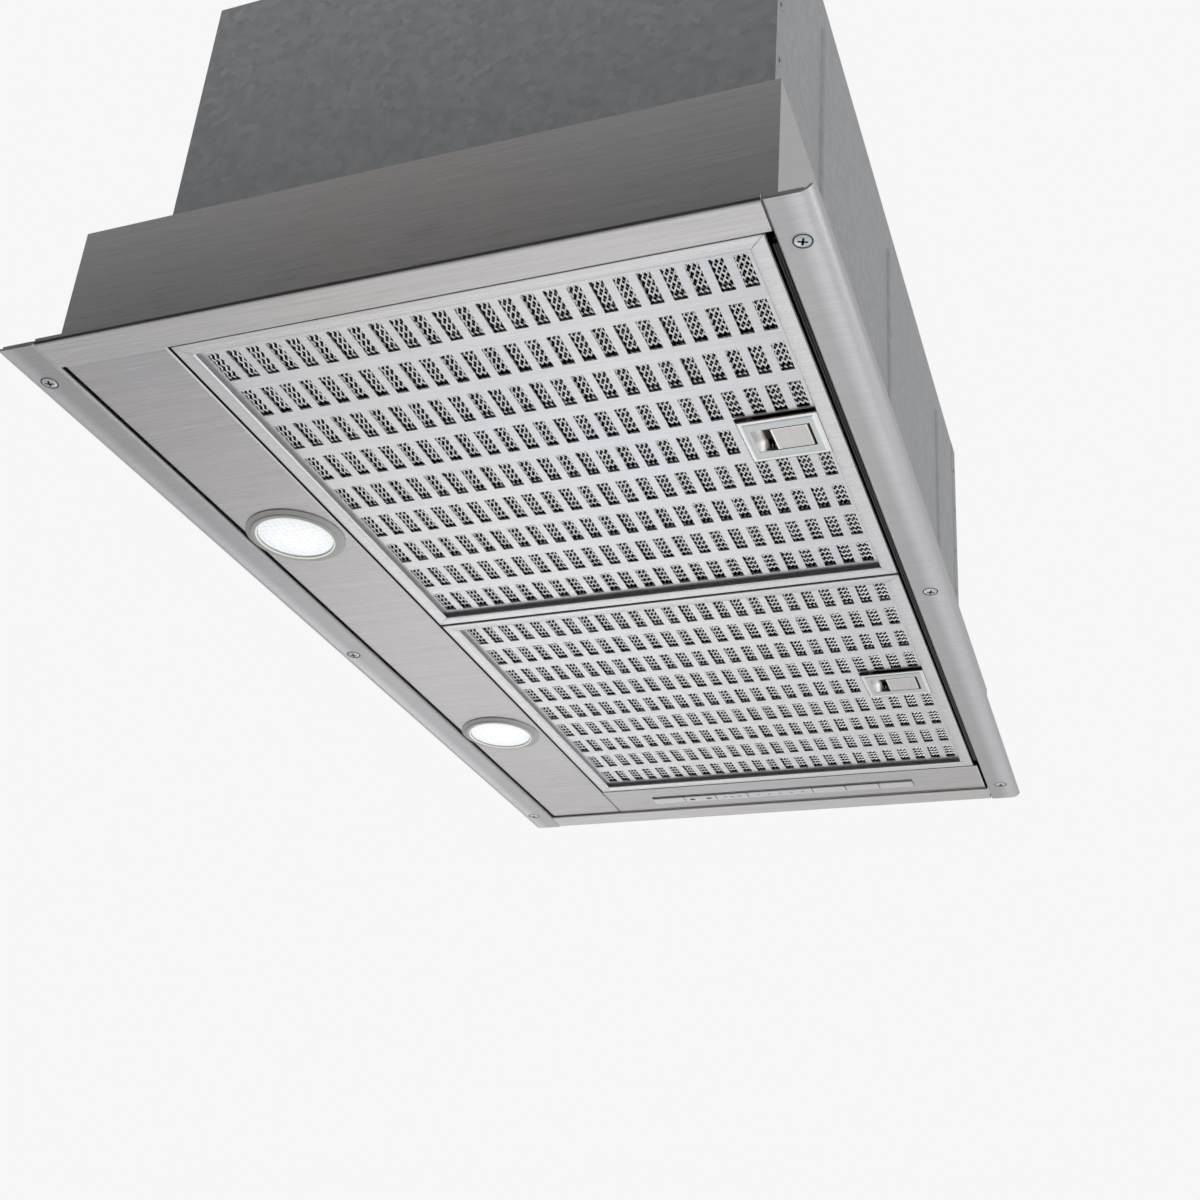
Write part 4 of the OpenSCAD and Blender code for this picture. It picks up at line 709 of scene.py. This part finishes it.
def coilAt(name, place, radius, length):
    deselectAll()
    bpy.ops.mesh.primitive_circle_add(vertices=8, radius=latchCoil["wire"], fill_type="NOTHING",
                                      location=(0, 0, 0))
    coil = bpy.context.object
    coil.name = name
    bpy.ops.object.mode_set(mode="EDIT")
    bpy.ops.mesh.select_all(action="SELECT")
    bpy.ops.transform.translate(value=(radius, 0, 0))
    bpy.ops.object.mode_set(mode="OBJECT")
    wound = coil.modifiers.new("wound", "SCREW")
    wound.axis = "Y"
    wound.iterations = latchCoil["turns"]
    wound.screw_offset = length / latchCoil["turns"]
    wound.steps = wound.render_steps = 20
    applyAll(coil)
    bpy.ops.object.mode_set(mode="EDIT")
    bpy.ops.mesh.select_all(action="SELECT")
    bpy.ops.mesh.fill_holes(sides=8)
    bpy.ops.mesh.select_all(action="SELECT")
    bpy.ops.mesh.normals_make_consistent(inside=False)
    bpy.ops.object.mode_set(mode="OBJECT")
    coil.location = place
    settle(coil)
    return coil


for side in ("left", "right"):
    low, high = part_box(side + "_latch_spring")
    outer = (high.z - low.z) / 2
    start, length = low.y + latchCoil["wire"], high.y - low.y - 2 * latchCoil["wire"]
    coils = [coilAt("coil", (x, start, low.z + outer), outer - latchCoil["wire"], length)
             for x in (low.x + outer, high.x - outer)]
    springs = joinedAs(coils, side + "LatchCoils")
    bpy.ops.object.shade_smooth_by_angle(angle=radians(40))
    springs.data.materials.append(materials[latchCoil["look"]])
    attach(springs, side + "_filter")
    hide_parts(side + "_latch_spring")
    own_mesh(springs)
print("latch coils made")


# galvanised box: folded end lips, domed rivets along them, and a blank plate

boxTrim = {"flange": 0.012, "foot": 0.004, "lip": (0.013, 0.0004), "rivet": (0.0021, 0.0008),
           "pitch": 0.032, "topRivets": range(-4, 5), "sideRivets": range(5), "firstRivet": 0.018,
           "plate": (0.0003, 0.062, 0.036), "plateAt": (0.05, 0.165), "plateRivets": (0.0002, 0.027, 0.014)}


def barAt(name, place, size):
    deselectAll()
    bpy.ops.mesh.primitive_cube_add(size=1, location=place)
    bar = bpy.context.object
    bar.name = name
    bar.scale = size
    settle(bar)
    worn = bar.modifiers.new("worn", "BEVEL")
    worn.width = min(size) * 0.3
    worn.segments = 2
    applyAll(bar)
    return bar


def domeAt(place, flat):  # a rivet's head, flat along one axis
    deselectAll()
    bpy.ops.mesh.primitive_uv_sphere_add(segments=20, ring_count=10, radius=1, location=place)
    dome = bpy.context.object
    wide, high = boxTrim["rivet"]
    dome.scale = [high if axis == flat else wide for axis in "XYZ"]
    settle(dome)
    bpy.ops.object.shade_smooth()
    return dome


boxLow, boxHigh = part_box("blower_box")  # its flange stands out round its foot
halfX, halfY = boxHigh.x - boxTrim["flange"], boxHigh.y - boxTrim["flange"]
lipFoot, lipTop = boxLow.z + boxTrim["foot"], boxHigh.z
lipWide, lipThick = boxTrim["lip"]
lips, domes = [], []
for endX in (-1, 1):
    lipX = endX * (halfX - lipWide / 2)
    lips.append(barAt("lip", (lipX, 0, lipTop), (lipWide, 2 * halfY, lipThick)))
    for k in boxTrim["topRivets"]:
        domes.append(domeAt((lipX, k * boxTrim["pitch"], lipTop + lipThick / 2), "Z"))
    for sideY in (-1, 1):
        high = lipTop - lipFoot
        lips.append(barAt("lip", (lipX, sideY * halfY, lipFoot + high / 2), (lipWide, lipThick, high)))
        for k in boxTrim["sideRivets"]:
            rivetZ = lipFoot + boxTrim["firstRivet"] + k * boxTrim["pitch"]
            domes.append(domeAt((lipX, sideY * (halfY + lipThick / 2), rivetZ), "Y"))
plateY, plateZ = boxTrim["plateAt"]
proud, acrossY, acrossZ = boxTrim["plateRivets"]
for shiftY in (-acrossY, acrossY):
    for shiftZ in (-acrossZ, acrossZ):
        domes.append(domeAt((halfX + proud, plateY + shiftY, plateZ + shiftZ), "X"))
for piece, look in ((joinedAs(lips, "boxLips"), "zinc"), (joinedAs(domes, "boxRivets"), "springWire"),
                    (barAt("blankPlate", (halfX, plateY, plateZ), boxTrim["plate"]), "motorCast")):
    piece.data.materials.append(materials[look])
    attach(piece, "hood")
print("box trim made, rivets:", len(domes))


# a thin dark bar along one side of the control strip's slot, in the rubber finish: painted shade that widens
# the slot's dark line

keyShade = {"inside": 0.00005, "drop": 0.00001, "size": (0.0010, 0.1800, 0.0001), "look": "ribbedRubber"}
slotX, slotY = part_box("level_display")[0].x + keyShade["inside"], spanOf("key_carrier")[0].y
keyShadePlace = (slotX, slotY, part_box("control_panel")[0].z - keyShade["drop"])
keyShadeBar = barAt("keyGapShade", keyShadePlace, keyShade["size"])
keyShadeBar.data.materials.append(materials[keyShade["look"]])
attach(keyShadeBar, "hood")
print("gasket made")


# pale room: floor, world and soft lamps

room = {
    "floorSize": 60.0,
    "floorPlace": (0, 0, -1.25),
    "floorColour": (0.84, 0.84, 0.84),
    "background": (0.93, 0.93, 0.93),
    "haze": (1.0, 2.6),  # where the floor fades into the background
    "fill": 0.55,
    "shine": 0.52,
    "flag": {"place": (-1.15, 0, -1.0), "size": (5.0, 4.0), "colour": (0.02, 0.02, 0.02)},
    "lamps": {  # place, aim, width, height, watts, seen in polished faces
        "lowFront": ((0.6, -2.3, -0.75), (0.1, 0, 0), 2.6, 1.2, 7, True),
        "keySoft": ((-1.7, -2.2, 2.3), (0.7, 0.6, -1.25), 1.5, 1.5, 30, False),
        "topSoft": ((2.5, -0.7, 2.3), (2.4, 0.0, -1.25), 2.0, 2.0, 40, False),
    },
    "pools": {  # brighter patches of floor, mirrored by the steel: place, angle, watts
        "farPool": ((2.15, 1.15, 1.2), 42, 205),
        "nearPool": ((1.05, 0.3, 1.2), 32, 85),
    },
}

deselectAll()
bpy.ops.mesh.primitive_plane_add(size=room["floorSize"], location=room["floorPlace"])
floor = bpy.context.object
floor.name = "floor"
floorMat, floorTree, floorShader = startMaterial("paleFloor")
floorGrain = noiseAt(floorTree, (3, 3, 3), detail=2.0)
floorTone = rampOf(floorTree, floorGrain, [(0.3, shade(room["floorColour"], 0.985)),
                                           (0.7, room["floorColour"])])
floorTree.links.new(floorTone, floorShader.inputs["Base Color"])
floorShader.inputs["Roughness"].default_value = 0.8
floorRay = floorTree.nodes.new("ShaderNodeLightPath")
haze = floorTree.nodes.new("ShaderNodeEmission")
haze.inputs["Color"].default_value = (*room["background"], 1)
floorAxes = axesOf(floorTree)
away = remap(floorTree, lengthOf(floorTree, floorAxes["X"], floorAxes["Y"]), 0.0, 1.0, *room["haze"])
share = paired(floorTree, "MULTIPLY", away, floorRay.outputs["Is Camera Ray"])
floorMix = floorTree.nodes.new("ShaderNodeMixShader")
floorTree.links.new(share, floorMix.inputs["Fac"])
floorTree.links.new(floorShader.outputs["BSDF"], floorMix.inputs[1])
floorTree.links.new(haze.outputs["Emission"], floorMix.inputs[2])
floorTree.links.new(floorMix.outputs["Shader"], floorTree.nodes["Material Output"].inputs["Surface"])
floor.data.materials.append(floorMat)

deselectAll()
bpy.ops.mesh.primitive_plane_add(size=1, location=room["flag"]["place"], rotation=(0, radians(90), 0))
flag = bpy.context.object
flag.name = "darkFlag"
flag.scale = (room["flag"]["size"][1], room["flag"]["size"][0], 1)
settle(flag)
flagMat, _, flagShader = startMaterial("flagCloth")
flagShader.inputs["Base Color"].default_value = (*room["flag"]["colour"], 1)
flagShader.inputs["Roughness"].default_value = 0.9
flag.data.materials.append(flagMat)
flag.visible_camera = flag.visible_shadow = False  # the steel mirrors it

world = bpy.data.worlds.new("paleRoom")
scene.world = world
world.use_nodes = True
sky = world.node_tree
sky.nodes.clear()
ray = sky.nodes.new("ShaderNodeLightPath")
skyOut = sky.nodes.new("ShaderNodeOutputWorld")


def skyOf(grey, strength):
    node = sky.nodes.new("ShaderNodeBackground")
    node.inputs["Color"].default_value = (*grey, 1)
    node.inputs["Strength"].default_value = strength
    return node.outputs["Background"]


def skyChoice(share, a, b):
    node = sky.nodes.new("ShaderNodeMixShader")
    sky.links.new(share, node.inputs["Fac"])
    sky.links.new(a, node.inputs[1])
    sky.links.new(b, node.inputs[2])
    return node.outputs["Shader"]


shine = skyChoice(ray.outputs["Is Glossy Ray"], skyOf((1, 1, 1), room["fill"]), skyOf((1, 1, 1), room["shine"]))
skyLight = skyChoice(ray.outputs["Is Camera Ray"], shine, skyOf(room["background"], 1.0))
sky.links.new(skyLight, skyOut.inputs["Surface"])

for name, (place, aim, width, height, watts, seen) in room["lamps"].items():
    turn = (Vector(aim) - Vector(place)).to_track_quat("-Z", "Y").to_euler()
    bpy.ops.object.light_add(type="AREA", location=place, rotation=turn)
    lamp = bpy.context.object
    lamp.name = name
    lamp.data.shape = "RECTANGLE"
    lamp.data.size = width
    lamp.data.size_y = height
    lamp.data.energy = watts
    lamp.visible_glossy = seen

for name, (place, angle, watts) in room["pools"].items():
    bpy.ops.object.light_add(type="SPOT", location=place)  # shines straight down
    pool = bpy.context.object
    pool.name = name
    pool.data.spot_size = radians(angle)
    pool.data.spot_blend = 1.0
    pool.data.shadow_soft_size = 0.2
    pool.data.energy = watts
    pool.visible_glossy = False
scene.view_settings.view_transform = "Standard"
print("room set")
